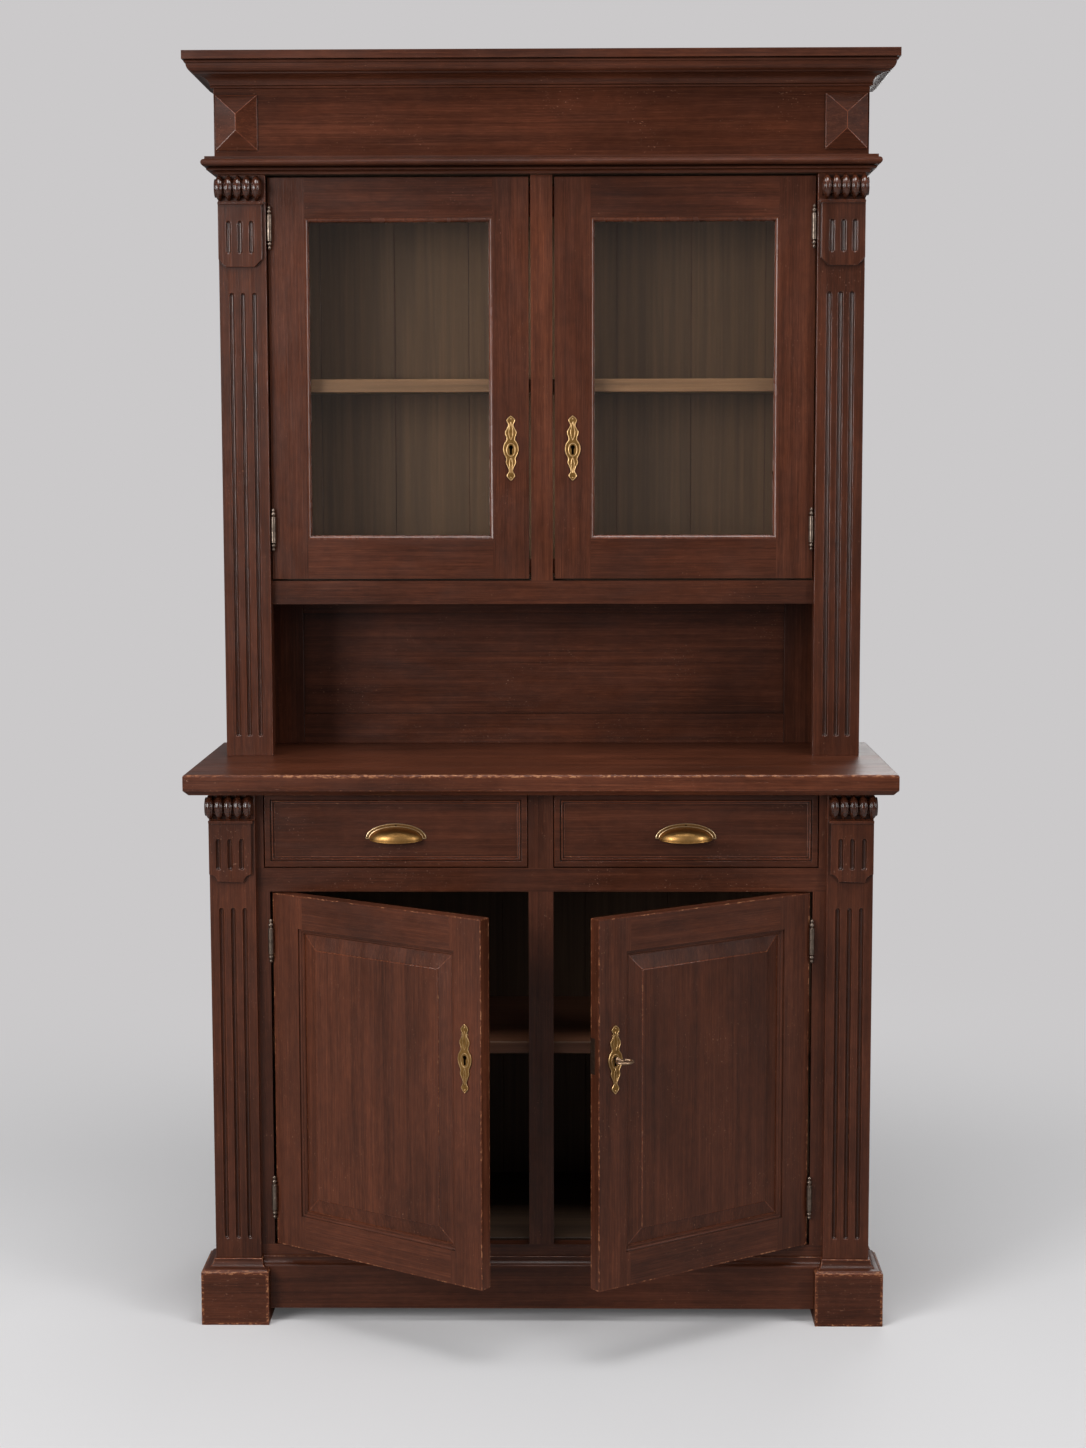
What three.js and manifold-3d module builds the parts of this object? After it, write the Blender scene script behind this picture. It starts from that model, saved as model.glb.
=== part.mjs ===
// Dresser with a glazed hutch: a stained softwood case in two stages, fluted pilasters with
// lobed roll capitals, two drawers over two panelled doors, two glazed doors over a niche.
// Millimetres, +Z up, +X right. The back of the case lies in the plane y = 0 while the
// pieces are placed, and the fronts face -Y.

import * as THREE from "three";
import { mergeVertices } from "three/addons/utils/BufferGeometryUtils.js";
import Module from "manifold-3d";

const wasm = await Module();
wasm.setup();

// Case
const case_width = 1064; // over the outer sides of the pilasters
const worktop_width = 1135;
const worktop_depth = 445;
const worktop_top = 906;
const worktop_thickness = 33.5;
const worktop_chamfer = 8; // lower arris
const worktop_rounding = 4; // upper arris
const side_thickness = 20;
const frame_thickness = 22; // face frames
const base_back_thickness = 8;
const board_thickness = 19.5; // floors and shelves
const floor_rise = 4.5; // a floor stands this far above the rail before it, as the door stop

// Pilasters
const pilaster_proud = 12.5; // before the face frame
const pilaster_depth = 30;
const base_pilaster_width = 74;
const hutch_pilaster_width = 78;
const capital_height = 44;
const capital_length = 76;
const capital_offset = 4.5; // the roll stands outwards by this much
const roll_relief = 1.5; // the roll stays this far from the boards above and below it
const lobe_depth = 3.4;
const ledge_height = 4.5;
const ledge_proud = 3;
const plaque_thickness = 5;
const plaque_margin = 6; // the plaque is narrower than its pilaster by this much
const base_plaque_height = 96;
const hutch_plaque_height = 101;
const base_plaque_corner = 11;
const hutch_plaque_corner = 10.5;
const plaque_notch = 2; // small step beside each cut corner
const flute_width = 8;
const flute_depth = 5;
const flute_spacing = 18.8;
const flute_head = 42; // from the plaque down to the long flutes
const base_flute_foot = 32.5; // from the foot of the pilaster up to its flutes
const short_flute_top_share = 0.26;
const short_flute_bottom_share = 0.21;

// Feet and plinth
const foot_height = 88.5;
const foot_cap_height = 17.5;
const foot_width = 110;
const foot_depth = 111;
const foot_proud = 22; // before the pilaster and beside the case
const foot_bead = 3.2; // bead round the top of the block, as far in from its arris
const foot_neck = 3; // upright rim over the hollow above the bead
const plinth_lift = 22; // clear of the floor
const plinth_proud = 14; // before the face frame and beside the case
const plinth_bead = 3.2;
const rear_foot_width = 76;
const rear_foot_depth = 80;

// Base fronts
const bottom_rail_height = 19.5;
const drawer_rail_height = 38.5;
const drawer_opening_height = 123.5;
const drawer_strip = 12; // face frame beside a drawer
const door_strip = 21; // face frame beside a lower door
const mullion_width = 40;
const hutch_mullion_width = 36;
const base_shelf_top = 451.5;
const base_shelf_setback = 50;

// Drawers
const drawer_reveal = 1.6;
const drawer_front_thickness = 20;
const drawer_wall = 10;
const drawer_floor = 7;
const drawer_side_height = 96;
const drawer_rear_clearance = 12;
const drawer_lift = 0.3; // running clearance over the dust board
const guide_height = 18;
const guide_width = 18;
const dust_board_thickness = 16;
const drawer_border = 16.5;
const drawer_field_depth = 4.5;

// Cup pulls
const pull_width = 84;
const pull_height = 18.5;
const pull_depth = 23;
const pull_wall = 2;
const pull_rim = 7;
const pull_rim_thickness = 1.8;
const pull_lip_drop = 4; // the lip dips by this much from the face to its foremost point
const pull_drop = 14.5; // foot of the rim below the middle of the drawer

// Hutch
const hutch_setback = 250; // from the worktop's front edge to the hutch pilasters
const hutch_case_height = 962;
const hutch_top_thickness = 18;
const niche_height = 255;
const hutch_rail_height = 39;
const hutch_back_thickness = 12;
const hutch_back_relief = 4;
const back_stile_width = 91;
const back_rail_width = 52;
const hutch_shelf_top = 1536;
const hutch_shelf_thickness = 21.5;
const hutch_shelf_setback = 36;

// Neck moulding, frieze and cornice
const neck_height = 28;
const neck_projection = 24.5;
const neck_bead_height = 4.2;
const frieze_proud = 4;
const frieze_thickness = 20;
const frieze_height = 109.5; // seen between the neck moulding and the cornice
const corner_block_width = 68;
const corner_block_height = 88;
const corner_block_edge = 3;
const corner_block_rise = 13;
const corner_ridge = 26;
const cornice_height = 55;
const cornice_projection = 49;
const cornice_fillet = 13.5;
const cornice_bead = 6;
const cornice_foot_bead = 5;
const cover_thickness = 12.5;

// Doors
const door_thickness = 21.5;
const door_reveal = 2;
const upper_door_reveal = 3.5; // over and under an upper door
const hinge_gap = 2.4; // between door and jamb on the hinge side
const stile_width = 60;
const upper_rail_width = 66;
const lower_rail_width = 62;
const lower_left_opening = 33.6; // degrees, as the doors stand ajar
const lower_right_opening = 34.3;
const glass_thickness = 3;
const glass_seat = 5.5; // how far the pane stands in its groove
const glass_depth = 8; // from the door's face to the pane
const glazing_bead = 6.5;
const fit_clearance = 0.3;
const panel_thickness = 9;
const panel_groove = 9;
const panel_depth = 8; // from the door's face to the panel's edge
const panel_bevel_width = 24;
const panel_rise = 5.5;
const panel_fillet = 1.6;
const sticking_width = 8.5;
const sticking_depth = 4.5;

// Hinges
const hinge_radius = 4.5;
const hinge_knuckle = 21.5; // length of one half of the barrel
const finial_length = 15;
const finial_neck_radius = 1.7;
const hinge_pin_radius = 1.7;
const hinge_pin_length = 16;
const pin_clearance = 0.4;
const leaf_thickness = 1;
const leaf_depth = 20;
const leaf_clearance = 0.05;
const leaf_seat = 0.4;
const upper_hinge_inset = 82; // from the end of the door to the seam of the barrel
const lower_hinge_inset = 78;

// Escutcheons, lock and key
const escutcheon_height = 108;
const escutcheon_width = 26;
const escutcheon_thickness = 1.6;
const keyhole_radius = 3.6;
const keyhole_slot_width = 4;
const keyhole_slot_drop = 12;
const upper_keyhole_height = 1422;
const lower_keyhole_height = 491;
const lock_width = 46;
const lock_height = 56;
const lock_depth = 12;
const lock_proud = 1.5;
const lock_below = 24; // from the keyhole down to the foot of the lock
const bolt_length = 34;
const bolt_height = 10;
const bolt_thickness = 6;
const bolt_offset = 16; // above the keyhole
const bolt_inset = 0.5; // the drawn bolt ends this far inside the door's edge
const bolt_travel = 8;
const strike_margin = 1.5;
const key_radius = 2.5;
const key_reach = 26; // from the door's face to the middle of the bow
const key_bow_radius = 10.5;
const key_bow_wire = 1.9;
const key_bow_share = 1.28; // the bow is this much wider than long
const key_bit_length = 8;
const key_bit_width = 6;
const key_bit_thickness = 2.4;
const key_pocket_radius = 9.2;

// Facets
const arc_steps = 5;
const cut_overrun = 1;
const weld = 1e-4;

// Outline of an escutcheon, from its top to its bottom tip: half width and drop, as shares of
// its half width and its height.
const escutcheon_outline_shares = [
  [0.3, 0.03],
  [0.52, 0.07],
  [0.26, 0.135],
  [0.5, 0.2],
  [0.72, 0.26],
  [0.48, 0.355],
  [0.86, 0.43],
  [1, 0.51],
  [0.86, 0.59],
  [0.55, 0.665],
  [0.64, 0.725],
  [0.38, 0.79],
  [0.2, 0.86],
  [0.5, 0.925],
  [0.28, 0.965],
];
const keyhole_drop_share = 0.485;

// Section of a drawer front's moulding from its arris to the field: distance in as a share of
// the border's width, depth as a share of the field's.
const drawer_section_shares = [
  [0, 0.3],
  [0.03, 0.1],
  [0.1, 0],
  [0.5, 0],
  [0.56, 0.12],
  [0.56, 0.66],
  [0.65, 0.66],
  [0.69, 0.3],
  [0.75, 0.2],
  [0.82, 0.3],
  [0.87, 1],
  [0.97, 1],
  [1, 1.1],
];

// Section of a hinge finial: radius as a share of the barrel's, length as a share of its own.
const finial_shares = [
  [0.62, 0.08],
  [0.92, 0.22],
  [0.92, 0.42],
  [0.5, 0.56],
  [0.6, 0.7],
  [0.7, 0.84],
  [0.4, 0.96],
];

// Places that follow from the sizes above
const case_half = case_width / 2;
const case_inner = case_half - side_thickness;
const overhang = (worktop_width - case_width) / 2;
const worktop_underside = worktop_top - worktop_thickness;
const base_front = -worktop_depth + overhang;
const base_face = base_front + pilaster_proud;
const base_frame_back = base_face + frame_thickness;
const base_bottom = foot_height + foot_cap_height;
const base_pilaster_inner = case_half - base_pilaster_width;
const base_pilaster_top = worktop_underside - capital_height;
const door_opening_bottom = base_bottom + bottom_rail_height;
const drawer_opening_bottom = worktop_underside - drawer_opening_height;
const door_opening_top = drawer_opening_bottom - drawer_rail_height;
const drawer_opening_half = base_pilaster_inner - drawer_strip;
const lower_jamb = base_pilaster_inner - door_strip;
const mullion_half = mullion_width / 2;
const hutch_mullion_half = hutch_mullion_width / 2;
const foot_outer = case_half + foot_proud;
const foot_back = base_front - foot_proud + foot_depth;
const hutch_front = -worktop_depth + hutch_setback;
const hutch_face = hutch_front + pilaster_proud;
const hutch_frame_back = hutch_face + frame_thickness;
const hutch_case_top = worktop_top + hutch_case_height;
const hutch_pilaster_inner = case_half - hutch_pilaster_width;
const hutch_rail_bottom = worktop_top + niche_height;
const hutch_opening_bottom = hutch_rail_bottom + hutch_rail_height;
const neck_top = hutch_case_top + neck_height;
const frieze_bottom = hutch_case_top + hutch_top_thickness;
const cornice_bottom = neck_top + frieze_height;
const cornice_top = cornice_bottom + cornice_height;
const frieze_top = cornice_top - cover_thickness;
const hinge_axis_offset = hinge_radius + fit_clearance;

const finishes = {
  stained: { color: 0x512e26, roughness: 0.48, metalness: 0 },
  inside: { color: 0x5a4030, roughness: 0.7, metalness: 0 },
  brass: { color: 0xb08a4e, roughness: 0.38, metalness: 1 },
  bronze: { color: 0x8a7768, roughness: 0.5, metalness: 1 },
  steel: { color: 0x77736c, roughness: 0.55, metalness: 1 },
  glass: { color: 0xe8efe9, roughness: 0.05, metalness: 0, transparent: true, opacity: 0.3 },
};

// A closed solid from the geometry of three.js.
function toSolid(geometry) {
  const bare = new THREE.BufferGeometry();
  const loose = geometry.index ? geometry.toNonIndexed() : geometry;
  bare.setAttribute("position", loose.getAttribute("position").clone());
  const merged = mergeVertices(bare, weld);
  return new wasm.Manifold(
    new wasm.Mesh({
      numProp: 3,
      vertProperties: merged.attributes.position.array,
      triVerts: new Uint32Array(merged.index.array),
    }),
  );
}

function toGeometry(solid) {
  const mesh = solid.getMesh();
  const geometry = new THREE.BufferGeometry();
  geometry.setAttribute("position", new THREE.BufferAttribute(mesh.vertProperties, 3));
  geometry.setIndex(new THREE.BufferAttribute(mesh.triVerts, 1));
  geometry.computeVertexNormals();
  return geometry;
}

// One named piece. A solid is turned back into a geometry first.
function addPiece(group, name, shape, finish) {
  const geometry = shape.isBufferGeometry ? shape : toGeometry(shape);
  const mesh = new THREE.Mesh(geometry, new THREE.MeshStandardMaterial(finishes[finish]));
  mesh.name = name;
  group.add(mesh);
}

// A board between two opposite corners, given in either order along x.
function board([xa, xb], [ya, yb], [za, zb]) {
  const geometry = new THREE.BoxGeometry(Math.abs(xb - xa), yb - ya, zb - za);
  return geometry.translate((xa + xb) / 2, (ya + yb) / 2, (za + zb) / 2);
}

function boardSolid(x, y, z) {
  return toSolid(board(x, y, z));
}

function joined(solids) {
  return solids.reduce((sum, next) => sum.add(next));
}

// Triangles that close a flat ring, wound the same way as the ring.
function capFaces(ring) {
  const [a, b, c] = [new THREE.Vector3(), new THREE.Vector3(), new THREE.Vector3()];
  const normal = new THREE.Vector3();
  ring.forEach((point, i) => {
    a.fromArray(point);
    b.fromArray(ring[(i + 1) % ring.length]);
    normal.add(c.crossVectors(a, b));
  });
  const sizes = normal.toArray().map(Math.abs);
  const dropped = sizes.indexOf(Math.max(...sizes));
  const flat = ring.map((point) => {
    const [u, v] = point.filter((_, axis) => axis !== dropped);
    return new THREE.Vector2(u, v);
  });
  const turn = Math.sign(THREE.ShapeUtils.area(flat)) || 1;
  return THREE.ShapeUtils.triangulateShape(flat, []).map(([i, j, k]) => {
    const same = THREE.ShapeUtils.area([flat[i], flat[j], flat[k]]) * turn >= 0;
    return same ? [i, j, k] : [i, k, j];
  });
}

// A skin over a row of rings that hold the same number of points. It is closed into a hoop,
// or by a flat cap at each end.
function loft(rings, hoop = false) {
  const count = rings[0].length;
  const index = [];
  const spans = hoop ? rings.length : rings.length - 1;
  for (let i = 0; i < spans; i++) {
    const here = i * count;
    const next = ((i + 1) % rings.length) * count;
    for (let j = 0; j < count; j++) {
      const k = (j + 1) % count;
      index.push(here + j, here + k, next + k, here + j, next + k, next + j);
    }
  }
  if (!hoop) {
    const last = (rings.length - 1) * count;
    capFaces(rings[0]).forEach(([i, j, k]) => index.push(i, k, j));
    capFaces(rings.at(-1)).forEach(([i, j, k]) => index.push(last + i, last + j, last + k));
  }
  const positions = rings.flat(2);
  const at = (i) => new THREE.Vector3().fromArray(positions, 3 * i);
  let volume = 0;
  for (let i = 0; i < index.length; i += 3) {
    volume += at(index[i]).dot(at(index[i + 1]).cross(at(index[i + 2])));
  }
  if (volume < 0) {
    index.reverse();
  }
  const geometry = new THREE.BufferGeometry();
  geometry.setAttribute("position", new THREE.Float32BufferAttribute(positions, 3));
  geometry.setIndex(index);
  geometry.computeVertexNormals();
  return geometry;
}

// Points on an elliptical arc, angles in quarter turns.
function arc(centre, radii, from, to, steps = arc_steps) {
  return Array.from({ length: steps + 1 }, (_, i) => {
    const angle = (Math.PI / 2) * (from + ((to - from) * i) / steps);
    return [centre[0] + radii[0] * Math.cos(angle), centre[1] + radii[1] * Math.sin(angle)];
  });
}

// A section of (outward, height) points run round the front and both sides, mitred at the corners.
function surround(section, half, front) {
  const corners = [
    (o) => [-half - o, 0],
    (o) => [-half - o, front - o],
    (o) => [half + o, front - o],
    (o) => [half + o, 0],
  ];
  return loft(corners.map((corner) => section.map(([o, z]) => [...corner(o), z])));
}

// The same kind of section run straight along the front or along one side.
function frontRun(section, face, from, to) {
  return loft([from, to].map((x) => section.map(([o, z]) => [x, face - o, z])));
}

function sideRun(section, side, half, from, to) {
  return loft([from, to].map((y) => section.map(([o, z]) => [side * (half + o), y, z])));
}

// A frame whose section of (across, up, depth) points runs round a rectangular opening.
function hoopFrame(section, [xa, xb], [za, zb]) {
  const corners = [
    ([across, up, y]) => [xa - across, y, za - up],
    ([across, up, y]) => [xb + across, y, za - up],
    ([across, up, y]) => [xb + across, y, zb + up],
    ([across, up, y]) => [xa - across, y, zb + up],
  ];
  return loft(corners.map((corner) => section.map(corner)), true);
}

// A block built up from rectangles that shrink by an inset at each depth.
function stepped([xa, xb], [za, zb], levels) {
  const rings = levels.map(([inset, y]) => [
    [xa + inset, y, za + inset],
    [xb - inset, y, za + inset],
    [xb - inset, y, zb - inset],
    [xa + inset, y, zb - inset],
  ]);
  return loft(rings);
}

// A turned solid about the Z axis, from (radius, height) points that start and end on the axis.
function turned(points, segments) {
  const profile = points.map(([radius, height]) => new THREE.Vector2(radius, height));
  return new THREE.LatheGeometry(profile, segments).rotateX(Math.PI / 2);
}

const dresser = new THREE.Group();

// Pilasters: one upright with a ledge, a plaque under the capital, and round-ended flutes.
function fluteCutter(x, front, bottom, top) {
  const length = top - bottom - flute_width;
  const radius = flute_width / 2;
  const cutter = new THREE.CapsuleGeometry(radius, length, 2, 8, 1);
  cutter.rotateX(Math.PI / 2).scale(1, flute_depth / radius, 1);
  return toSolid(cutter.translate(x, front, (bottom + top) / 2));
}

function squarePlaque(half, height) {
  const corner = hutch_plaque_corner;
  const shape = new THREE.Shape();
  shape.moveTo(-half, 0);
  shape.lineTo(-half, corner + plaque_notch - height);
  shape.lineTo(plaque_notch - half, corner - height);
  shape.lineTo(plaque_notch + corner - half, -height);
  shape.lineTo(half - plaque_notch - corner, -height);
  shape.lineTo(half - plaque_notch, corner - height);
  shape.lineTo(half, corner + plaque_notch - height);
  shape.lineTo(half, 0);
  return shape;
}

function scoopedPlaque(half, height) {
  const corner = base_plaque_corner;
  const shape = new THREE.Shape();
  shape.moveTo(-half, 0);
  shape.lineTo(-half, corner + plaque_notch - height);
  shape.lineTo(plaque_notch - half, corner + plaque_notch - height);
  shape.absarc(-half, -height, corner + plaque_notch, Math.PI / 2.4, 0.12, true);
  shape.lineTo(half - plaque_notch - corner, -height);
  shape.absarc(half, -height, corner + plaque_notch, Math.PI - 0.12, Math.PI - Math.PI / 2.4, true);
  shape.lineTo(half - plaque_notch, corner + plaque_notch - height);
  shape.lineTo(half, corner + plaque_notch - height);
  shape.lineTo(half, 0);
  return shape;
}

function pilaster(side, { width, front, bottom, top, plaque_height, plaque_shape, flute_foot }) {
  const middle = side * (case_half - width / 2);
  const shaft_top = top - ledge_height;
  const inner = side * (case_half - width);
  const shaft = boardSolid([inner, side * case_half], [front, front + pilaster_depth], [bottom, top]);
  const ledge = boardSolid(
    [inner + side * ledge_proud, side * case_half],
    [front - plaque_thickness - ledge_proud, front + cut_overrun],
    [shaft_top, top],
  );
  const plaque_half = (width - plaque_margin) / 2;
  const plaque_middle = side * (case_half - plaque_half);
  const plaque = new THREE.ExtrudeGeometry(plaque_shape(plaque_half, plaque_height), {
    depth: plaque_thickness + cut_overrun,
    bevelEnabled: false,
    curveSegments: 5,
  });
  plaque.rotateX(Math.PI / 2).translate(plaque_middle, front + cut_overrun, shaft_top);
  const cutters = [];
  for (const step of [-1, 0, 1]) {
    const x = step * flute_spacing;
    const plaque_front = front - plaque_thickness;
    const short_bottom = shaft_top - plaque_height * (1 - short_flute_bottom_share);
    const short_top = shaft_top - plaque_height * short_flute_top_share;
    cutters.push(fluteCutter(plaque_middle + x, plaque_front, short_bottom, short_top));
    const long_top = shaft_top - plaque_height - flute_head;
    cutters.push(fluteCutter(middle + x, front, bottom + flute_foot, long_top));
  }
  return joined([shaft, ledge, toSolid(plaque)]).subtract(joined(cutters));
}

// Capital: a horizontal roll turned in five lobes, before a block that carries on the pilaster.
function capital(side, { width, front, bottom, top, outward }) {
  const block = boardSolid(
    [side * (case_half - width), side * case_half],
    [front, front + pilaster_depth],
    [bottom, top],
  );
  const radius = (top - bottom) / 2 - roll_relief;
  const lobes = 5;
  const steps = 4;
  const length = capital_length;
  const points = [[0, -length / 2]];
  for (let i = 0; i <= lobes * steps; i++) {
    const swell = Math.sqrt(Math.abs(Math.sin((Math.PI * i) / steps)));
    const at_end = i === 0 || i === lobes * steps;
    const depth = at_end ? 2 * lobe_depth : lobe_depth;
    points.push([radius - depth * (1 - swell), length * (i / (lobes * steps) - 1 / 2)]);
  }
  points.push([0, length / 2]);
  const roll = turned(points, 14).rotateY(Math.PI / 2);
  const shift = outward + (width - length) / 2;
  roll.translate(side * (case_half - width / 2 + shift), front, (bottom + top) / 2);
  return block.add(toSolid(roll));
}

const base_pilaster = {
  width: base_pilaster_width,
  front: base_front,
  bottom: base_bottom,
  top: base_pilaster_top,
  plaque_height: base_plaque_height,
  plaque_shape: scoopedPlaque,
  flute_foot: base_flute_foot,
};
const hutch_pilaster = {
  width: hutch_pilaster_width,
  front: hutch_front,
  bottom: worktop_top,
  top: hutch_case_top - capital_height,
  plaque_height: hutch_plaque_height,
  plaque_shape: squarePlaque,
  flute_foot: base_flute_foot,
};

// Feet: a square block with a bead round its top and a hollow that draws in to the pilaster.
function footRings(side, grow) {
  const rings = [];
  const level = (inset, z) => {
    const reach = Math.max(0, Math.min(1, inset));
    const outer = foot_outer - reach * foot_proud + grow;
    const inner_start = foot_outer - foot_width;
    const inner = inner_start + reach * (base_pilaster_inner - inner_start) - grow;
    const front = base_front - (1 - reach) * foot_proud - grow;
    const back = foot_back + grow;
    rings.push([
      [side * inner, front, z],
      [side * outer, front, z],
      [side * outer, back, z],
      [side * inner, back, z],
    ]);
  };
  const bead = foot_bead / foot_proud;
  const neck = 1 - bead;
  const bead_top = foot_height + foot_bead;
  const hollow_top = base_bottom - foot_neck;
  level(0, 0);
  level(0, foot_height);
  const round = arc([2 * bead, foot_height], [bead, foot_bead], 2, 1, 3);
  const hollow = arc([2 * bead, hollow_top], [neck - 2 * bead, hollow_top - bead_top], 3, 4, 5);
  round.concat(hollow.slice(1)).forEach(([inset, z]) => level(inset, z));
  level(neck, base_bottom);
  return rings;
}

// Plinth: a board with a bead and a hollow worked on its upper edge.
function plinthSection(thickness) {
  const hollow_height = foot_cap_height - 2 * plinth_bead;
  return [
    [-thickness, plinth_lift],
    [plinth_proud, plinth_lift],
    [plinth_proud, foot_height],
    ...arc([plinth_proud - plinth_bead, foot_height + plinth_bead], [plinth_bead, plinth_bead], 0, 1, 3),
    ...arc(
      [plinth_proud - plinth_bead, base_bottom - plinth_bead],
      [plinth_proud - 2 * plinth_bead, hollow_height - plinth_bead],
      3,
      2,
      4,
    ),
    [plinth_bead, base_bottom],
    [-thickness, base_bottom],
  ];
}

for (const [side, hand] of [
  [-1, "left"],
  [1, "right"],
]) {
  const foot = loft(footRings(side, 0));
  addPiece(dresser, "foot_" + hand, foot, "stained");
  const plinth = sideRun(plinthSection(side_thickness), side, case_half, foot_back, 0);
  const rear_foot = board(
    [side * (case_half + plinth_proud - rear_foot_width), side * (case_half + plinth_proud)],
    [-rear_foot_depth, 0],
    [0, foot_height],
  );
  addPiece(dresser, "plinth_" + hand, toSolid(plinth).add(toSolid(rear_foot)), "stained");
  const base_side = board(
    [side * case_inner, side * case_half],
    [base_front + pilaster_depth, 0],
    [base_bottom, worktop_underside],
  );
  addPiece(dresser, "base_side_" + hand, base_side, "stained");
  const hutch_side = board(
    [side * case_inner, side * case_half],
    [hutch_front + pilaster_depth, 0],
    [worktop_top, hutch_case_top],
  );
  addPiece(dresser, "hutch_side_" + hand, hutch_side, "stained");
  for (const [stage, plan, ceiling, outward] of [
    ["base_", base_pilaster, worktop_underside, capital_offset],
    ["hutch_", hutch_pilaster, hutch_case_top, capital_offset],
  ]) {
    addPiece(dresser, stage + "pilaster_" + hand, pilaster(side, plan), "stained");
    const head = { ...plan, bottom: plan.top, top: ceiling, outward };
    addPiece(dresser, stage + "capital_" + hand, capital(side, head), "stained");
  }
}
const plinth_front = frontRun(
  plinthSection(frame_thickness),
  base_face,
  -base_pilaster_inner,
  base_pilaster_inner,
);
const feet_room = [-1, 1].map((side) => toSolid(loft(footRings(side, fit_clearance))));
addPiece(dresser, "plinth_front", toSolid(plinth_front).subtract(joined(feet_room)), "stained");

// Base case: floor, shelf, back, dust board with drawer guides, face frame and worktop.
const base_inside = [-case_inner, case_inner];
const base_floor_top = door_opening_bottom + floor_rise;
addPiece(
  dresser,
  "base_floor",
  board(
    base_inside,
    [base_frame_back, -base_back_thickness],
    [base_floor_top - board_thickness, base_floor_top],
  ),
  "inside",
);
addPiece(
  dresser,
  "base_shelf",
  board(
    base_inside,
    [base_face + base_shelf_setback, -base_back_thickness],
    [base_shelf_top - board_thickness, base_shelf_top],
  ),
  "inside",
);
addPiece(
  dresser,
  "base_back",
  board(base_inside, [-base_back_thickness, 0], [base_bottom, worktop_underside]),
  "inside",
);
const guide_top = drawer_opening_bottom + guide_height;
const dust_board = [
  boardSolid(
    base_inside,
    [base_frame_back, -base_back_thickness],
    [drawer_opening_bottom - dust_board_thickness, drawer_opening_bottom],
  ),
];
for (const guide of [
  [-drawer_opening_half - guide_width, -drawer_opening_half],
  [-mullion_half, mullion_half],
  [drawer_opening_half, drawer_opening_half + guide_width],
]) {
  dust_board.push(
    boardSolid(
      guide,
      [base_frame_back, -base_back_thickness],
      [drawer_opening_bottom - cut_overrun, guide_top],
    ),
  );
}
addPiece(dresser, "drawer_dust_board", joined(dust_board), "inside");

// Strike slots in a mullion take the bolts of both doors.
const lock_back = door_thickness + lock_proud;
const bolt_middle = lock_back - lock_depth / 2;
function strikeSlots(face, keyhole_height, half) {
  const middle = face + bolt_middle;
  const reach = bolt_thickness / 2 + strike_margin;
  const z = keyhole_height + bolt_offset;
  const half_height = bolt_height / 2 + strike_margin;
  return [-1, 1].map((side) =>
    boardSolid(
      [side * (half - bolt_travel - strike_margin), side * (half + cut_overrun)],
      [middle - reach, middle + reach],
      [z - half_height, z + half_height],
    ),
  );
}

const base_frame_depth = [base_face, base_frame_back];
const base_frame = [
  boardSolid(
    [-base_pilaster_inner, base_pilaster_inner],
    base_frame_depth,
    [base_bottom, door_opening_bottom],
  ),
  boardSolid(
    [-base_pilaster_inner, base_pilaster_inner],
    base_frame_depth,
    [door_opening_top, drawer_opening_bottom],
  ),
  boardSolid([-mullion_half, mullion_half], base_frame_depth, [base_bottom, worktop_underside]),
];
for (const side of [-1, 1]) {
  base_frame.push(
    boardSolid(
      [side * lower_jamb, side * base_pilaster_inner],
      base_frame_depth,
      [base_bottom, drawer_opening_bottom],
    ),
    boardSolid(
      [side * drawer_opening_half, side * base_pilaster_inner],
      base_frame_depth,
      [base_bottom, worktop_underside],
    ),
  );
}
addPiece(
  dresser,
  "base_face_frame",
  joined(base_frame).subtract(joined(strikeSlots(base_face, lower_keyhole_height, mullion_half))),
  "stained",
);

const worktop_half = worktop_width / 2;
const worktop_levels = [
  [worktop_chamfer, worktop_underside],
  [0, worktop_underside + worktop_chamfer],
  ...arc(
    [worktop_rounding, worktop_top - worktop_rounding],
    [worktop_rounding, worktop_rounding],
    2,
    1,
    4,
  ),
];
const worktop_rings = worktop_levels.map(([inset, z]) => [
  [inset - worktop_half, inset - worktop_depth, z],
  [worktop_half - inset, inset - worktop_depth, z],
  [worktop_half - inset, 0, z],
  [inset - worktop_half, 0, z],
]);
addPiece(dresser, "worktop", loft(worktop_rings), "stained");

// Hutch case: framed back, floor over the niche, shelf, top board and face frame.
const back_front = -hutch_back_thickness;
const back_panel_front = back_front + hutch_back_relief;
const hutch_floor_top = hutch_opening_bottom + floor_rise;
const back_frame_inner = case_inner - back_stile_width;
const hutch_back = [
  boardSolid(base_inside, [back_panel_front, 0], [worktop_top, hutch_case_top]),
];
const back_rails = [
  [worktop_top, worktop_top + back_rail_width],
  [hutch_rail_bottom - back_rail_width / 2, hutch_floor_top + back_rail_width / 2],
  [hutch_case_top - back_rail_width, hutch_case_top],
];
back_rails.forEach((rail) => {
  hutch_back.push(boardSolid(base_inside, [back_front, -hutch_back_relief], rail));
});
for (const side of [-1, 1]) {
  hutch_back.push(
    boardSolid(
      [side * back_frame_inner, side * case_inner],
      [back_front, -hutch_back_relief],
      [worktop_top, hutch_case_top],
    ),
  );
}
addPiece(dresser, "hutch_back", joined(hutch_back), "stained");
addPiece(
  dresser,
  "hutch_floor",
  board(
    base_inside,
    [hutch_frame_back, back_front],
    [hutch_floor_top - board_thickness, hutch_floor_top],
  ),
  "inside",
);
addPiece(
  dresser,
  "hutch_shelf",
  board(
    base_inside,
    [hutch_face + hutch_shelf_setback, back_front],
    [hutch_shelf_top - hutch_shelf_thickness, hutch_shelf_top],
  ),
  "inside",
);
addPiece(
  dresser,
  "hutch_top",
  board([-case_half, case_half], [hutch_front, 0], [hutch_case_top, frieze_bottom]),
  "inside",
);
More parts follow.
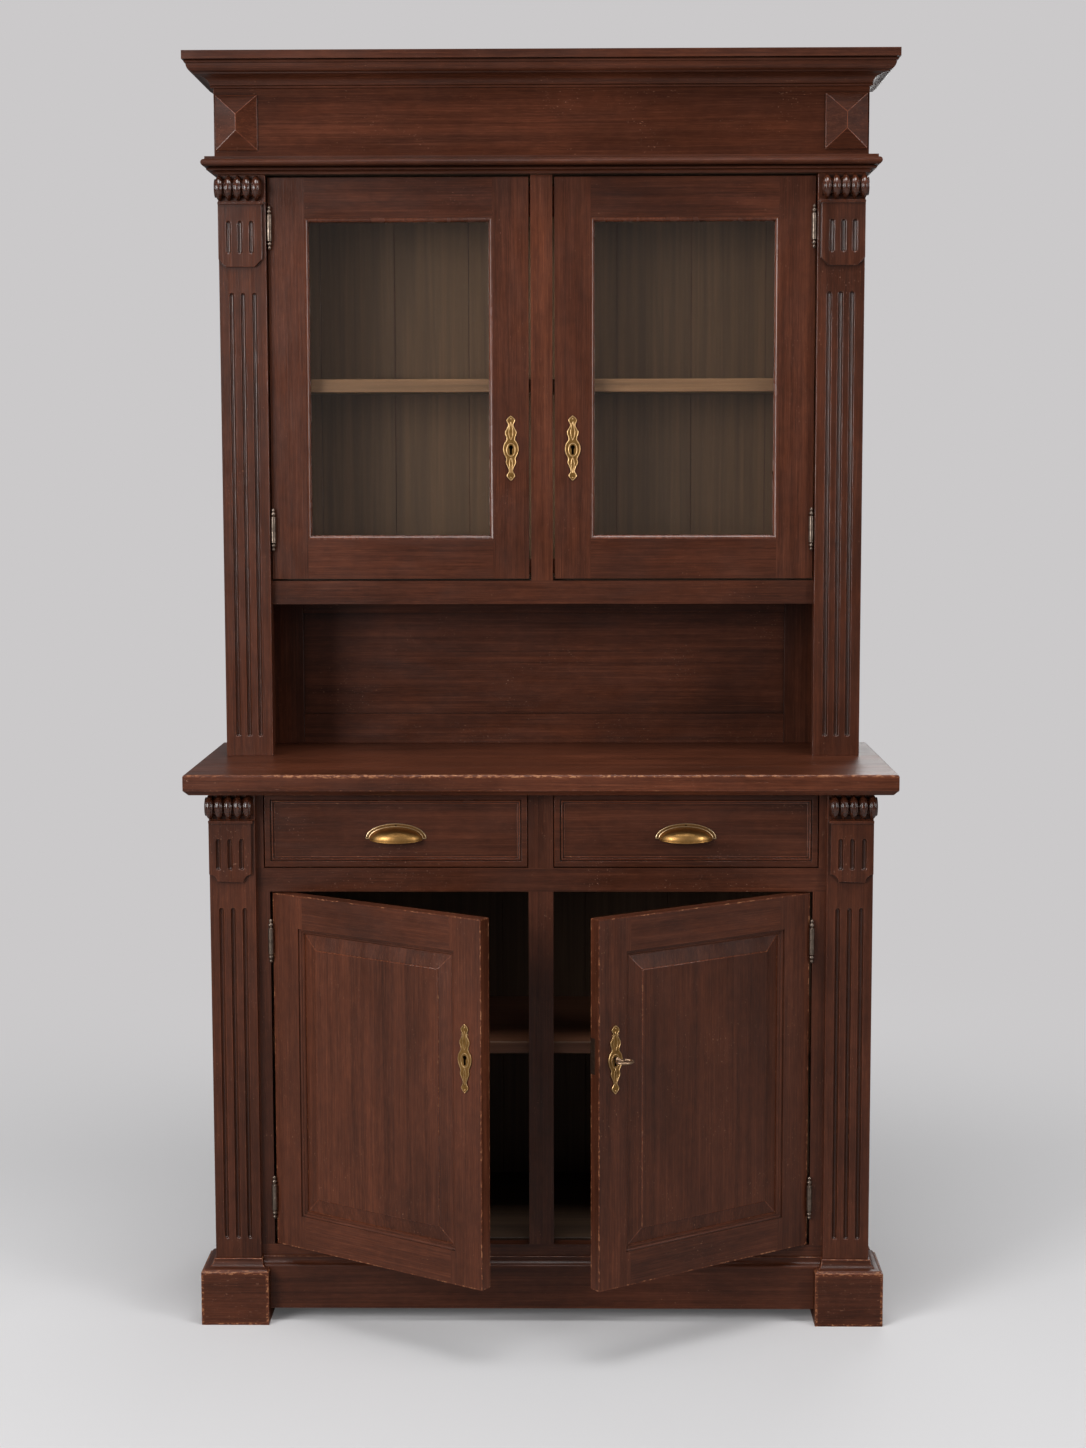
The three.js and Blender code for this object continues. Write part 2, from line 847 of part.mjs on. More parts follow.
const hutch_frame_depth = [hutch_face, hutch_frame_back];
const hutch_frame = joined([
  boardSolid(
    [-hutch_pilaster_inner, hutch_pilaster_inner],
    hutch_frame_depth,
    [hutch_rail_bottom, hutch_opening_bottom],
  ),
  boardSolid([-hutch_mullion_half, hutch_mullion_half], hutch_frame_depth, [hutch_rail_bottom, hutch_case_top]),
]);
addPiece(
  dresser,
  "hutch_face_frame",
  hutch_frame.subtract(joined(strikeSlots(hutch_face, upper_keyhole_height, hutch_mullion_half))),
  "stained",
);

// Neck moulding: hollow, small bead, quirk, torus and fillet, from the underside up.
const neck_hollow = neck_projection / 2;
const neck_bead_radius = neck_bead_height / 2;
const neck_bead_foot = hutch_case_top + neck_height / 5;
const neck_torus_foot = neck_bead_foot + neck_bead_height + neck_bead_radius;
const neck_torus_top = neck_top - neck_bead_height;
const neck_torus_radius = (neck_torus_top - neck_torus_foot) / 2;
const neck_section = [
  [0, hutch_case_top],
  [neck_hollow / 2, hutch_case_top],
  ...arc(
    [neck_hollow, hutch_case_top],
    [neck_hollow / 2, neck_bead_foot - hutch_case_top],
    2,
    1,
    3,
  ),
  ...arc(
    [neck_hollow + neck_bead_radius, neck_bead_foot + neck_bead_radius],
    [neck_bead_radius, neck_bead_radius],
    -1,
    1,
    4,
  ),
  [neck_hollow, neck_torus_foot],
  ...arc(
    [neck_projection - neck_torus_radius, neck_torus_foot + neck_torus_radius],
    [neck_torus_radius, neck_torus_radius],
    -1,
    1,
    6,
  ),
  [neck_projection - neck_torus_radius, neck_top],
  [frieze_proud, neck_top],
  [frieze_proud, frieze_bottom],
  [0, frieze_bottom],
];
addPiece(dresser, "neck_moulding", surround(neck_section, case_half, hutch_front), "stained");

// Frieze: boards mitred round three sides, with a hipped block at each end of the front.
const frieze_section = [
  [frieze_proud, frieze_bottom],
  [frieze_proud, frieze_top],
  [frieze_proud - frieze_thickness, frieze_top],
  [frieze_proud - frieze_thickness, frieze_bottom],
];
const frieze_front = hutch_front - frieze_proud;
const frieze_middle = (neck_top + cornice_bottom) / 2;
function cornerBlock(side) {
  const outer = case_half + frieze_proud - corner_block_edge;
  const inner = outer - corner_block_width;
  const middle = (outer + inner) / 2;
  const level = (xa, xb, half_height, y) => [
    [side * xa, y, frieze_middle - half_height],
    [side * xb, y, frieze_middle - half_height],
    [side * xb, y, frieze_middle + half_height],
    [side * xa, y, frieze_middle + half_height],
  ];
  const half_height = corner_block_height / 2;
  return loft([
    level(inner, outer, half_height, frieze_front + cut_overrun),
    level(inner, outer, half_height, frieze_front - corner_block_edge),
    level(middle, middle, corner_ridge / 2, frieze_front - corner_block_rise),
  ]);
}
const frieze = [surround(frieze_section, case_half, hutch_front), cornerBlock(-1), cornerBlock(1)];
addPiece(dresser, "frieze", joined(frieze.map(toSolid)), "stained");

// Cornice: foot bead, hollow, ovolo, small bead and fillet, with the cover board let in on top.
const cornice_ovolo_top = cornice_top - cornice_fillet - cornice_bead;
const cornice_hollow_foot = cornice_bottom + cornice_foot_bead;
const cornice_hollow_top = (cornice_hollow_foot + cornice_ovolo_top) / 2;
const cornice_quirk = cornice_bead / 3;
const cornice_waist = cornice_projection * (2 / 3);
const cornice_start = frieze_proud + cornice_foot_bead;
const cornice_shoulder = cornice_projection - cornice_bead / 2;
const cornice_section = [
  [frieze_proud, cornice_bottom],
  ...arc(
    [cornice_start - cornice_foot_bead / 2, cornice_bottom + cornice_foot_bead / 2],
    [cornice_foot_bead / 2, cornice_foot_bead / 2],
    -1,
    1,
    4,
  ),
  ...arc(
    [cornice_waist, cornice_hollow_foot],
    [cornice_waist - cornice_start, cornice_hollow_top - cornice_hollow_foot],
    2,
    1,
    6,
  ),
  [cornice_waist, cornice_hollow_top + cornice_quirk],
  ...arc(
    [cornice_waist, cornice_ovolo_top],
    [cornice_shoulder - cornice_bead / 2 - cornice_waist, cornice_ovolo_top - cornice_hollow_top - cornice_quirk],
    -1,
    0,
    5,
  ),
  ...arc(
    [cornice_shoulder - cornice_bead / 2, cornice_ovolo_top + cornice_bead / 2],
    [cornice_bead / 2, cornice_bead / 2],
    -1,
    1,
    4,
  ),
  [cornice_projection, cornice_ovolo_top + cornice_bead],
  [cornice_projection, cornice_top],
  [frieze_proud - frieze_thickness, cornice_top],
  [frieze_proud - frieze_thickness, frieze_top],
  [frieze_proud, frieze_top],
];
const cover_half = case_half + frieze_proud - frieze_thickness + cut_overrun;
const cover = board(
  [-cover_half, cover_half],
  [hutch_front - frieze_proud + frieze_thickness - cut_overrun, 0],
  [frieze_top, cornice_top],
);
const cornice_run = surround(cornice_section, case_half, hutch_front);
addPiece(dresser, "cornice", toSolid(cornice_run).add(toSolid(cover)), "stained");

// Hinges: lift-off pairs. The lower half with the pin is fixed to the jamb, the upper half
// to the door. Both are made about their own axis at the height of the seam.
function knuckle(upward) {
  const points = [[0, 0], [hinge_radius, 0], [hinge_radius, hinge_knuckle]];
  finial_shares.forEach(([radius_share, length_share]) => {
    points.push([hinge_radius * radius_share, hinge_knuckle + finial_length * length_share]);
  });
  points.push([0, hinge_knuckle + finial_length]);
  const geometry = turned(points, 10);
  return toSolid(upward > 0 ? geometry : geometry.rotateX(Math.PI));
}

function pinSolid(radius, bottom, top) {
  const pin = new THREE.CylinderGeometry(radius, radius, top - bottom, 8);
  return toSolid(pin.rotateX(Math.PI / 2).translate(0, 0, (bottom + top) / 2));
}

// inward is +1 where the door lies towards +X of its hinge. gap_middle is the middle of the
// gap between door and jamb, seen from the hinge axis and towards the door.
function hingeJambHalf(inward, gap_middle) {
  const leaf = boardSolid(
    [
      inward * (gap_middle - hinge_gap / 2 + leaf_clearance),
      inward * (gap_middle - hinge_gap / 2 + leaf_thickness),
    ],
    [0, leaf_depth],
    [leaf_thickness - hinge_knuckle, -leaf_clearance],
  );
  const pin = pinSolid(hinge_pin_radius, -hinge_knuckle / 2, hinge_pin_length);
  return joined([knuckle(-1).translate([0, 0, -leaf_clearance]), leaf, pin]);
}

function hingeDoorHalf(inward, gap_middle) {
  const leaf = boardSolid(
    [
      inward * (gap_middle + hinge_gap / 2 - leaf_thickness),
      inward * (gap_middle + hinge_gap / 2 + leaf_seat),
    ],
    [hinge_pin_radius + 2 * pin_clearance, leaf_depth],
    [leaf_clearance, hinge_knuckle - leaf_thickness],
  );
  return knuckle(1).translate([0, 0, leaf_clearance]).add(leaf);
}

function hingeBore() {
  return pinSolid(hinge_pin_radius + pin_clearance, -cut_overrun, hinge_pin_length + cut_overrun);
}

// Escutcheon and keyhole, made flat with the keyhole at the origin.
function halfOutline() {
  const half = escutcheon_width / 2;
  const tip = new THREE.Vector2(0, keyhole_drop_share * escutcheon_height);
  const points = [tip];
  escutcheon_outline_shares.forEach(([width_share, drop_share]) => {
    const z = (keyhole_drop_share - drop_share) * escutcheon_height;
    points.push(new THREE.Vector2(half * width_share, z));
  });
  points.push(new THREE.Vector2(0, (keyhole_drop_share - 1) * escutcheon_height));
  return new THREE.SplineCurve(points).getPoints(2 * points.length);
}

function keyholePath(grow) {
  const half_slot = keyhole_slot_width / 2 + grow;
  const radius = keyhole_radius + grow;
  const start = Math.asin(half_slot / radius);
  const path = new THREE.Path();
  path.absarc(0, 0, radius, start - Math.PI / 2, Math.PI * 1.5 - start, false);
  path.lineTo(-half_slot, -keyhole_slot_drop - grow);
  path.lineTo(half_slot, -keyhole_slot_drop - grow);
  return path;
}

function escutcheon() {
  const right = halfOutline();
  const left = right.slice(1, -1).reverse();
  const shape = new THREE.Shape([...right, ...left.map((p) => new THREE.Vector2(-p.x, p.y))]);
  shape.holes.push(keyholePath(0));
  const settings = { depth: escutcheon_thickness, bevelEnabled: false, curveSegments: 8 };
  return new THREE.ExtrudeGeometry(shape, settings).rotateX(Math.PI / 2);
}

function keyholeCutter() {
  const shape = new THREE.Shape(keyholePath(fit_clearance).getPoints(6));
  const settings = { depth: door_thickness + 2 * lock_depth, bevelEnabled: false };
  const cutter = new THREE.ExtrudeGeometry(shape, settings).rotateX(Math.PI / 2);
  return toSolid(cutter.translate(0, door_thickness + lock_depth, 0));
}

// Sections of the door frames as (across, up, depth) from the sight opening outwards.
function glazedSection() {
  const stile = stile_width + glazing_bead;
  const rail = upper_rail_width + glazing_bead;
  const groove = glass_seat + fit_clearance;
  const slot_front = glass_depth;
  const slot_back = glass_depth + glass_thickness + 2 * fit_clearance;
  const bead = arc([0, 0], [glazing_bead, glazing_bead - fit_clearance], 0, 1, 4);
  return [
    ...bead.map(([across, depth]) => [glazing_bead - across, glazing_bead - across, glazing_bead - depth]),
    [glazing_bead, glazing_bead, 0],
    [stile, rail, 0],
    [stile, rail, door_thickness],
    [glazing_bead / 2, glazing_bead / 2, door_thickness],
    [0, 0, door_thickness - glazing_bead / 2],
    [0, 0, slot_back],
    [groove, groove, slot_back],
    [groove, groove, slot_front],
    [0, 0, slot_front],
  ];
}

function panelledSection() {
  const stile = stile_width;
  const rail = lower_rail_width;
  const groove = panel_groove + fit_clearance;
  const slot_front = panel_depth - fit_clearance;
  const slot_back = panel_depth + panel_thickness / 2 + fit_clearance;
  const sunk = arc([sticking_width, sticking_depth], [sticking_width / 2, sticking_depth / 2], 2, 3, 3);
  return [
    [0, 0, sticking_depth + sticking_width / 4],
    [sticking_width / 4, sticking_width / 4, sticking_depth],
    ...sunk.map(([across, depth]) => [across, across, depth]),
    [sticking_width, sticking_width, 0],
    [stile, rail, 0],
    [stile, rail, door_thickness],
    [0, 0, door_thickness],
    [0, 0, slot_back],
    [groove, groove, slot_back],
    [groove, groove, slot_front],
    [0, 0, slot_front],
  ];
}

// A door hangs in a group whose origin is its hinge axis. Distances u run from the axis
// towards the free edge, y from the axis back into the case.
function doorPlan(stage) {
  const upper = stage === "upper";
  const jamb = upper ? hutch_pilaster_inner : lower_jamb;
  const gap_middle = upper ? hinge_gap / 2 - hinge_axis_offset : 0;
  const axis_x = upper ? jamb - hinge_axis_offset : jamb - hinge_gap / 2;
  const face = upper ? hutch_face : base_face;
  const reveal = upper ? upper_door_reveal : door_reveal;
  const bottom = (upper ? hutch_opening_bottom : door_opening_bottom) + reveal;
  const top = (upper ? hutch_case_top : door_opening_top) - reveal;
  const inset = upper ? upper_hinge_inset : lower_hinge_inset;
  return {
    upper,
    gap_middle,
    axis_x,
    axis_y: face - hinge_axis_offset,
    bottom,
    top,
    near: gap_middle + hinge_gap / 2,
    far: axis_x - (upper ? hutch_mullion_half : mullion_half) - reveal,
    keyhole: upper ? upper_keyhole_height : lower_keyhole_height,
    rail: upper ? upper_rail_width : lower_rail_width,
    seams: [bottom + inset, top - inset],
  };
}

function openingOf(plan, inward) {
  return {
    x: [inward * (plan.near + stile_width), inward * (plan.far - stile_width)].sort((a, b) => a - b),
    z: [plan.bottom + plan.rail, plan.top - plan.rail],
  };
}

function doorFrame(plan, inward, lock_pocket) {
  const { x, z } = openingOf(plan, inward);
  const key_x = inward * (plan.far - stile_width / 2);
  const place = (section) => section.map(([across, up, y]) => [across, up, y + hinge_axis_offset]);
  const frame = plan.upper
    ? hoopFrame(
        place(glazedSection()),
        [x[0] + glazing_bead, x[1] - glazing_bead],
        [z[0] + glazing_bead, z[1] - glazing_bead],
      )
    : hoopFrame(place(panelledSection()), x, z);
  let solid = toSolid(frame);
  for (const seam of plan.seams) {
    solid = solid.add(hingeDoorHalf(inward, plan.gap_middle).translate([0, 0, seam]));
    solid = solid.subtract(hingeBore().translate([0, 0, seam]));
  }
  const back = hinge_axis_offset + door_thickness;
  const lock_z = [plan.keyhole - lock_below, plan.keyhole - lock_below + lock_height];
  const grow = lock_pocket ? fit_clearance : 0;
  const lock = boardSolid(
    [inward * (plan.far - lock_width - grow), inward * (plan.far + (lock_pocket ? cut_overrun : 0))],
    [back + lock_proud - lock_depth - grow, back + lock_proud],
    [lock_z[0] - grow, lock_z[1] + grow],
  );
  solid = lock_pocket ? solid.subtract(lock) : solid.add(lock);
  return solid.subtract(keyholeCutter().translate([key_x, hinge_axis_offset, plan.keyhole]));
}

function glassPane(plan, inward) {
  const { x, z } = openingOf(plan, inward);
  const inset = glazing_bead - glass_seat;
  const front = hinge_axis_offset + glass_depth + fit_clearance;
  return board(
    [x[0] + inset, x[1] - inset],
    [front, front + glass_thickness],
    [z[0] + inset, z[1] - inset],
  );
}

// Raised panel: a thin edge in the groove, a bevel that rises to a small fillet, a flat field.
function raisedPanel(plan, inward) {
  const { x, z } = openingOf(plan, inward);
  const edge = hinge_axis_offset + panel_depth;
  const bevel_end = panel_groove + panel_bevel_width;
  const field = edge - panel_rise;
  return stepped(
    [x[0] - panel_groove, x[1] + panel_groove],
    [z[0] - panel_groove, z[1] + panel_groove],
    [
      [0, edge + panel_thickness / 2],
      [0, edge],
      [panel_groove, edge],
      [bevel_end, field + panel_fillet],
      [bevel_end, field],
    ],
  );
}

// Lock of the right lower door: a case with a bolt channel and a round pocket for the bit.
function lockCase(plan, inward) {
  const back = hinge_axis_offset + door_thickness;
  const front = back + lock_proud - lock_depth;
  const bottom = plan.keyhole - lock_below;
  const body = boardSolid(
    [inward * (plan.far - lock_width), inward * plan.far],
    [front, back + lock_proud],
    [bottom, bottom + lock_height],
  );
  const middle = front + lock_depth / 2;
  const half = bolt_thickness / 2 + fit_clearance;
  const z = plan.keyhole + bolt_offset;
  const channel = boardSolid(
    [inward * (plan.far - bolt_inset - bolt_length - cut_overrun), inward * (plan.far + cut_overrun)],
    [middle - half, middle + half],
    [z - bolt_height / 2 - fit_clearance, z + bolt_height / 2 + fit_clearance],
  );
  const pocket_depth = key_bit_width + 2 * cut_overrun;
  const pocket = new THREE.CylinderGeometry(key_pocket_radius, key_pocket_radius, pocket_depth, 16);
  const key_x = inward * (plan.far - stile_width / 2);
  pocket.translate(key_x, front + pocket_depth / 2 - cut_overrun, plan.keyhole);
  return body.subtract(channel).subtract(toSolid(pocket));
}

function lockBolt(plan, inward) {
  const middle = hinge_axis_offset + bolt_middle;
  const z = plan.keyhole + bolt_offset;
  const end = plan.far - bolt_inset;
  return board(
    [inward * (end - bolt_length), inward * end],
    [middle - bolt_thickness / 2, middle + bolt_thickness / 2],
    [z - bolt_height / 2, z + bolt_height / 2],
  );
}

// The key stands in its lock with the bow level. Its own origin is the middle of the keyhole.
function doorKey() {
  const lock_front = door_thickness + lock_proud - lock_depth;
  const bit_front = lock_front + fit_clearance;
  const tip = bit_front + key_bit_width;
  const bow = new THREE.TorusGeometry(key_bow_radius, key_bow_wire, 6, 16);
  bow.scale(key_bow_share, 1, 1).translate(0, -key_reach, 0);
  const shaft_front = -key_reach + key_bow_radius;
  const shaft = new THREE.CylinderGeometry(key_radius, key_radius, tip - shaft_front, 10);
  shaft.translate(0, (tip + shaft_front) / 2, 0);
  const collar_length = 2 * key_radius;
  const collar = new THREE.CylinderGeometry(key_radius * 1.5, key_radius * 1.5, collar_length, 10);
  collar.translate(0, shaft_front + collar_length, 0);
  const bit = boardSolid(
    [0, key_bit_length],
    [bit_front, tip],
    [-key_bit_thickness / 2, key_bit_thickness / 2],
  );
  return joined([toSolid(bow), toSolid(shaft), toSolid(collar), bit]);
}

for (const [stage, side, hand, opening] of [
  ["upper", -1, "left", 0],
  ["upper", 1, "right", 0],
  ["lower", -1, "left", lower_left_opening],
  ["lower", 1, "right", lower_right_opening],
]) {
  const plan = doorPlan(stage);
  const inward = -side;
  const name = stage + "_" + hand + "_door";
  const door = new THREE.Group();
  door.name = name;
  door.position.set(side * plan.axis_x, plan.axis_y, 0);
  door.rotation.z = THREE.MathUtils.degToRad(side * opening);
  dresser.add(door);
  const keyed = stage === "lower" && side > 0;
  addPiece(door, name + "_frame", doorFrame(plan, inward, keyed), "stained");
  if (plan.upper) {
    addPiece(door, name + "_glass", glassPane(plan, inward), "glass");
  } else {
    addPiece(door, name + "_panel", raisedPanel(plan, inward), "stained");
  }
  const key_x = inward * (plan.far - stile_width / 2);
  const plate = escutcheon().translate(key_x, hinge_axis_offset, plan.keyhole);
  addPiece(door, name + "_escutcheon", plate, "brass");
  if (keyed) {
    addPiece(door, "lock_case", lockCase(plan, inward), "steel");
    addPiece(door, "lock_bolt", lockBolt(plan, inward), "steel");
    const key = new THREE.Group();
    key.name = "door_key_place";
    key.position.set(key_x, hinge_axis_offset, plan.keyhole);
    addPiece(key, "door_key", doorKey(), "steel");
    door.add(key);
  }
  plan.seams.forEach((seam, i) => {
    const hinge = hingeJambHalf(inward, plan.gap_middle).translate([
      side * plan.axis_x,
      plan.axis_y,
      seam,
    ]);
    addPiece(dresser, name + "_hinge_" + (i ? "top" : "bottom"), hinge, "bronze");
  });
}

// Drawers: a moulded front, an open box behind it and a hollow cup pull.
function drawerFront(x, z) {
  return stepped(x, z, [
    [0, base_face + drawer_front_thickness],
    ...drawer_section_shares.map(([across, depth]) => [
      across * drawer_border,
      base_face + depth * drawer_field_depth,
    ]),
  ]);
}

function cupPull() {
  const half = pull_width / 2;
  const dome = (shrink) => {
    const ball = new THREE.SphereGeometry(1, 20, 10);
    ball.scale(half - shrink, pull_depth - shrink, pull_height - shrink);
    return toSolid(ball);
  };
  const span = [-half - pull_rim, half + pull_rim];
  const front_room = boardSolid(span, [-2 * pull_depth, 0], [-pull_height, 2 * pull_height]);
  const lip_slope = THREE.MathUtils.radToDeg(Math.atan(pull_lip_drop / pull_depth));
  const over_lip = boardSolid(span, [-2 * pull_depth, pull_depth], [0, 2 * pull_height]);
  const cup = dome(0)
    .subtract(dome(pull_wall))
    .intersect(front_room)
    .intersect(over_lip.rotate([lip_slope, 0, 0]));
  const rim = new THREE.Shape();
  rim.absellipse(0, 0, half + pull_rim, pull_height + pull_rim, 0, Math.PI, false);
  rim.absellipse(0, 0, half - pull_wall, pull_height - pull_wall, Math.PI, 0, true);
  const settings = { depth: pull_rim_thickness, bevelEnabled: false, curveSegments: 16 };
  return cup.add(toSolid(new THREE.ExtrudeGeometry(rim, settings).rotateX(Math.PI / 2)));
}

for (const [side, hand] of [
  [-1, "left"],
  [1, "right"],
]) {
  const name = "drawer_" + hand;
  const x = [side * (mullion_half + drawer_reveal), side * (drawer_opening_half - drawer_reveal)].sort(
    (a, b) => a - b,
  );
  const z = [drawer_opening_bottom + drawer_reveal, worktop_underside - 2 * drawer_reveal];
  addPiece(dresser, name + "_front", drawerFront(x, z), "stained");
  const box_front = base_face + drawer_front_thickness;
  const box_back = -base_back_thickness - drawer_rear_clearance;
  const box_bottom = drawer_opening_bottom + drawer_lift;
  const box_top = box_bottom + drawer_side_height;
  const walls = boardSolid(x, [box_front, box_back], [box_bottom, box_top]);
  const inside = boardSolid(
    [x[0] + drawer_wall, x[1] - drawer_wall],
    [box_front + drawer_wall, box_back - drawer_wall],
    [box_bottom + drawer_floor, box_top + cut_overrun],
  );
  addPiece(dresser, name + "_box", walls.subtract(inside), "inside");
  const field = base_face + drawer_section_shares.at(-1)[1] * drawer_field_depth;
  const pull = cupPull().translate([(x[0] + x[1]) / 2, field, (z[0] + z[1]) / 2 - pull_drop]);
  addPiece(dresser, name + "_pull", pull, "brass");
}

// The origin is the middle of the footprint on the floor, with the doors as they stand.
const bounds = new THREE.Box3().setFromObject(dresser);
dresser.position.y = -(bounds.min.y + bounds.max.y) / 2;

export default dresser;
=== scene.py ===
from math import cos, pi, radians, sin, sqrt

import bmesh
import bpy
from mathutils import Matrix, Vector


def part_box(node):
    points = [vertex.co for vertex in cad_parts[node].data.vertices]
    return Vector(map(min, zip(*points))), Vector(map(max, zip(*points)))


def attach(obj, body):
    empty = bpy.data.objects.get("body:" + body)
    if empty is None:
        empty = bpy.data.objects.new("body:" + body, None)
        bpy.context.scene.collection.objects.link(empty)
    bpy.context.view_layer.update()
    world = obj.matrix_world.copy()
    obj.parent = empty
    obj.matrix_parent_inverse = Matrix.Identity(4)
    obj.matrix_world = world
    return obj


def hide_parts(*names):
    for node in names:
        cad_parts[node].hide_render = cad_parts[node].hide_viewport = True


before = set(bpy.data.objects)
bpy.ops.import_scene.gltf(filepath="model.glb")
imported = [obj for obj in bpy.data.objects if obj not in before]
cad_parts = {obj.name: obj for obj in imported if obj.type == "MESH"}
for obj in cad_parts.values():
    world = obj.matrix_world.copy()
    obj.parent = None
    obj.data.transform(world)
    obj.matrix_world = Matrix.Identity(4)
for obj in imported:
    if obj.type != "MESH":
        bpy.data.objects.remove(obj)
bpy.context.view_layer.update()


# Camera
# A long lens, 3.9 m in front of the dresser and 1.4 m above the floor. It is tipped down a little,
# so that the cornice and the feet are both in the picture.

def into_scene(name, data):
    """A new object, linked to the scene."""
    obj = bpy.data.objects.new(name, data)
    bpy.context.collection.objects.link(obj)
    return obj


picture_width, lens_pixels = 1086, 2420
camera_data = bpy.data.cameras.new("camera")
camera_data.sensor_fit = "HORIZONTAL"
camera_data.sensor_width = 36
camera_data.lens = 36 * lens_pixels / picture_width
camera = into_scene("camera", camera_data)
camera.location = (0.0567, -3.9121, 1.404)
camera.rotation_euler = (pi / 2 - 0.1094, 0.0021, 0.0135)
bpy.context.scene.camera = camera
bpy.context.scene.view_settings.view_transform = "Standard"


# Studio
# A matt pale floor that fades into the air of the room, lit by soft lamps in front on both sides,
# above and behind. The dresser mirrors a darker floor than the camera sees, which keeps a grey
# veil off the polished wood.

def linear(colour, alpha=1.0):
    """Turns an sRGB hex colour into the linear values that the shaders take."""
    parts = [int(colour[i:i + 2], 16) / 255 for i in (1, 3, 5)]
    return [c / 12.92 if c <= 0.04045 else ((c + 0.055) / 1.055) ** 2.4 for c in parts] + [alpha]


def add_node(tree, kind, inputs=None, **settings):
    """Adds a node, sets it, and fills or links its inputs."""
    node = tree.nodes.new(kind)
    for name, value in settings.items():
        setattr(node, name, value)
    for key, value in (inputs or {}).items():
        if isinstance(value, bpy.types.NodeSocket):
            tree.links.new(value, node.inputs[key])
        else:
            node.inputs[key].default_value = value
    return node


def calculate(tree, operation, *values, **settings):
    """The result of a Math node."""
    given = dict(enumerate(values))
    return add_node(tree, "ShaderNodeMath", given, operation=operation, **settings).outputs[0]


def map_range(tree, value, low, high, least=0.0, most=1.0, **settings):
    """Goes from least to most as the value goes from low to high, and stays between them."""
    limits = {0: value, 1: low, 2: high, 3: least, 4: most}
    return add_node(tree, "ShaderNodeMapRange", limits, **settings).outputs[0]


def relief_shader(tree, surface, height, strength, depth):
    """A Principled shader whose surface rises and falls with a height, so deep in metres."""
    relief = {"Height": height, "Strength": strength, "Distance": depth}
    surface["Normal"] = add_node(tree, "ShaderNodeBump", relief).outputs[0]
    return add_node(tree, "ShaderNodeBsdfPrincipled", surface).outputs[0]


def blank_material(name):
    """A material with no shader yet, its node tree, and the place on the piece that it reads."""
    material = bpy.data.materials.new(name)
    material.use_nodes = True
    tree = material.node_tree
    tree.nodes.clear()
    return material, tree, add_node(tree, "ShaderNodeTexCoord").outputs["Object"]


def only_seen(tree, seen, otherwise):
    """One shader for the camera and what is seen through glass, another for all other rays."""
    rays = add_node(tree, "ShaderNodeLightPath").outputs
    through = calculate(tree, "SUBTRACT", rays["Is Transmission Ray"], rays["Glossy Depth"])
    direct = calculate(tree, "MAXIMUM", rays["Is Camera Ray"], through, use_clamp=True)
    return add_node(tree, "ShaderNodeMixShader", {0: direct, 1: otherwise, 2: seen}).outputs[0]


def studio_floor():
    """Matt painted board: it takes the shadow near the dresser and is plain room tone far off."""
    material, tree, place = blank_material("matt_painted_board")
    distance = add_node(tree, "ShaderNodeVectorMath", {0: place}, operation="LENGTH").outputs["Value"]
    away = map_range(tree, distance, fade_start, fade_end, interpolation_type="SMOOTHSTEP")
    tones = {0: away, 6: linear("#EBEAEB"), 7: linear(room_tone)}
    tone = add_node(tree, "ShaderNodeMix", tones, data_type="RGBA").outputs[2]
    own = map_range(tree, away, 0.0, 1.0, 0.06)
    lit = add_node(tree, "ShaderNodeMix", {0: own, 6: tone, 7: linear("#000000")}, data_type="RGBA")
    matt = add_node(tree, "ShaderNodeBsdfDiffuse", {"Color": lit.outputs[2]})
    glow = add_node(tree, "ShaderNodeEmission", {"Color": tone, "Strength": own})
    seen = add_node(tree, "ShaderNodeAddShader", {0: matt.outputs[0], 1: glow.outputs[0]})
    board = add_node(tree, "ShaderNodeBsdfDiffuse", {"Color": linear("#A2A1A0")})
    shader = only_seen(tree, seen.outputs[0], board.outputs[0])
    add_node(tree, "ShaderNodeOutputMaterial", {0: shader})
    return material


room_tone = "#CBC9CA"
fade_start, fade_end = 0.7, 2.9
floor_half = 40.0
floor_corners = [(floor_half * x, floor_half * y, 0) for x, y in ((-1, -1), (1, -1), (1, 1), (-1, 1))]
mesh = bpy.data.meshes.new("studio_floor")
mesh.from_pydata(floor_corners, [], [(0, 1, 2, 3)])
mesh.materials.append(studio_floor())
floor = into_scene("studio_floor", mesh)

for name, power, size, place, target in (
    ("lamp_left_front", 106, (1.8, 2.0), (-2.8, -3.1, 2.0), (0, 0, 0.75)),
    ("lamp_right_front", 46, (1.2, 2.0), (3.2, -2.5, 2.0), (0, 0, 0.9)),
    ("lamp_over", 66, (2.4, 1.6), (0.1, -1.1, 4.3), (0, -0.2, 0.8)),
    ("lamp_behind", 45, (2.6, 1.8), (0.9, 3.8, 2.6), (0, 0.3, 0.9)),
):
    lamp = bpy.data.lights.new(name, "AREA")
    lamp.shape = "RECTANGLE"
    lamp.size, lamp.size_y = size
    lamp.energy = power
    obj = into_scene(name, lamp)
    obj.location = place
    obj.rotation_euler = (Vector(target) - Vector(place)).to_track_quat("-Z", "Y").to_euler()
    obj.visible_camera = False

world = bpy.data.worlds.new("studio_air")
world.use_nodes = True
air = world.node_tree
air.nodes.clear()
room = add_node(air, "ShaderNodeBackground", {"Color": linear(room_tone), "Strength": 1.0})
fill = add_node(air, "ShaderNodeBackground", {"Color": linear("#E9EAEC"), "Strength": 0.18})
add_node(air, "ShaderNodeOutputWorld", {0: only_seen(air, room.outputs[0], fill.outputs[0])})
bpy.context.scene.world = world
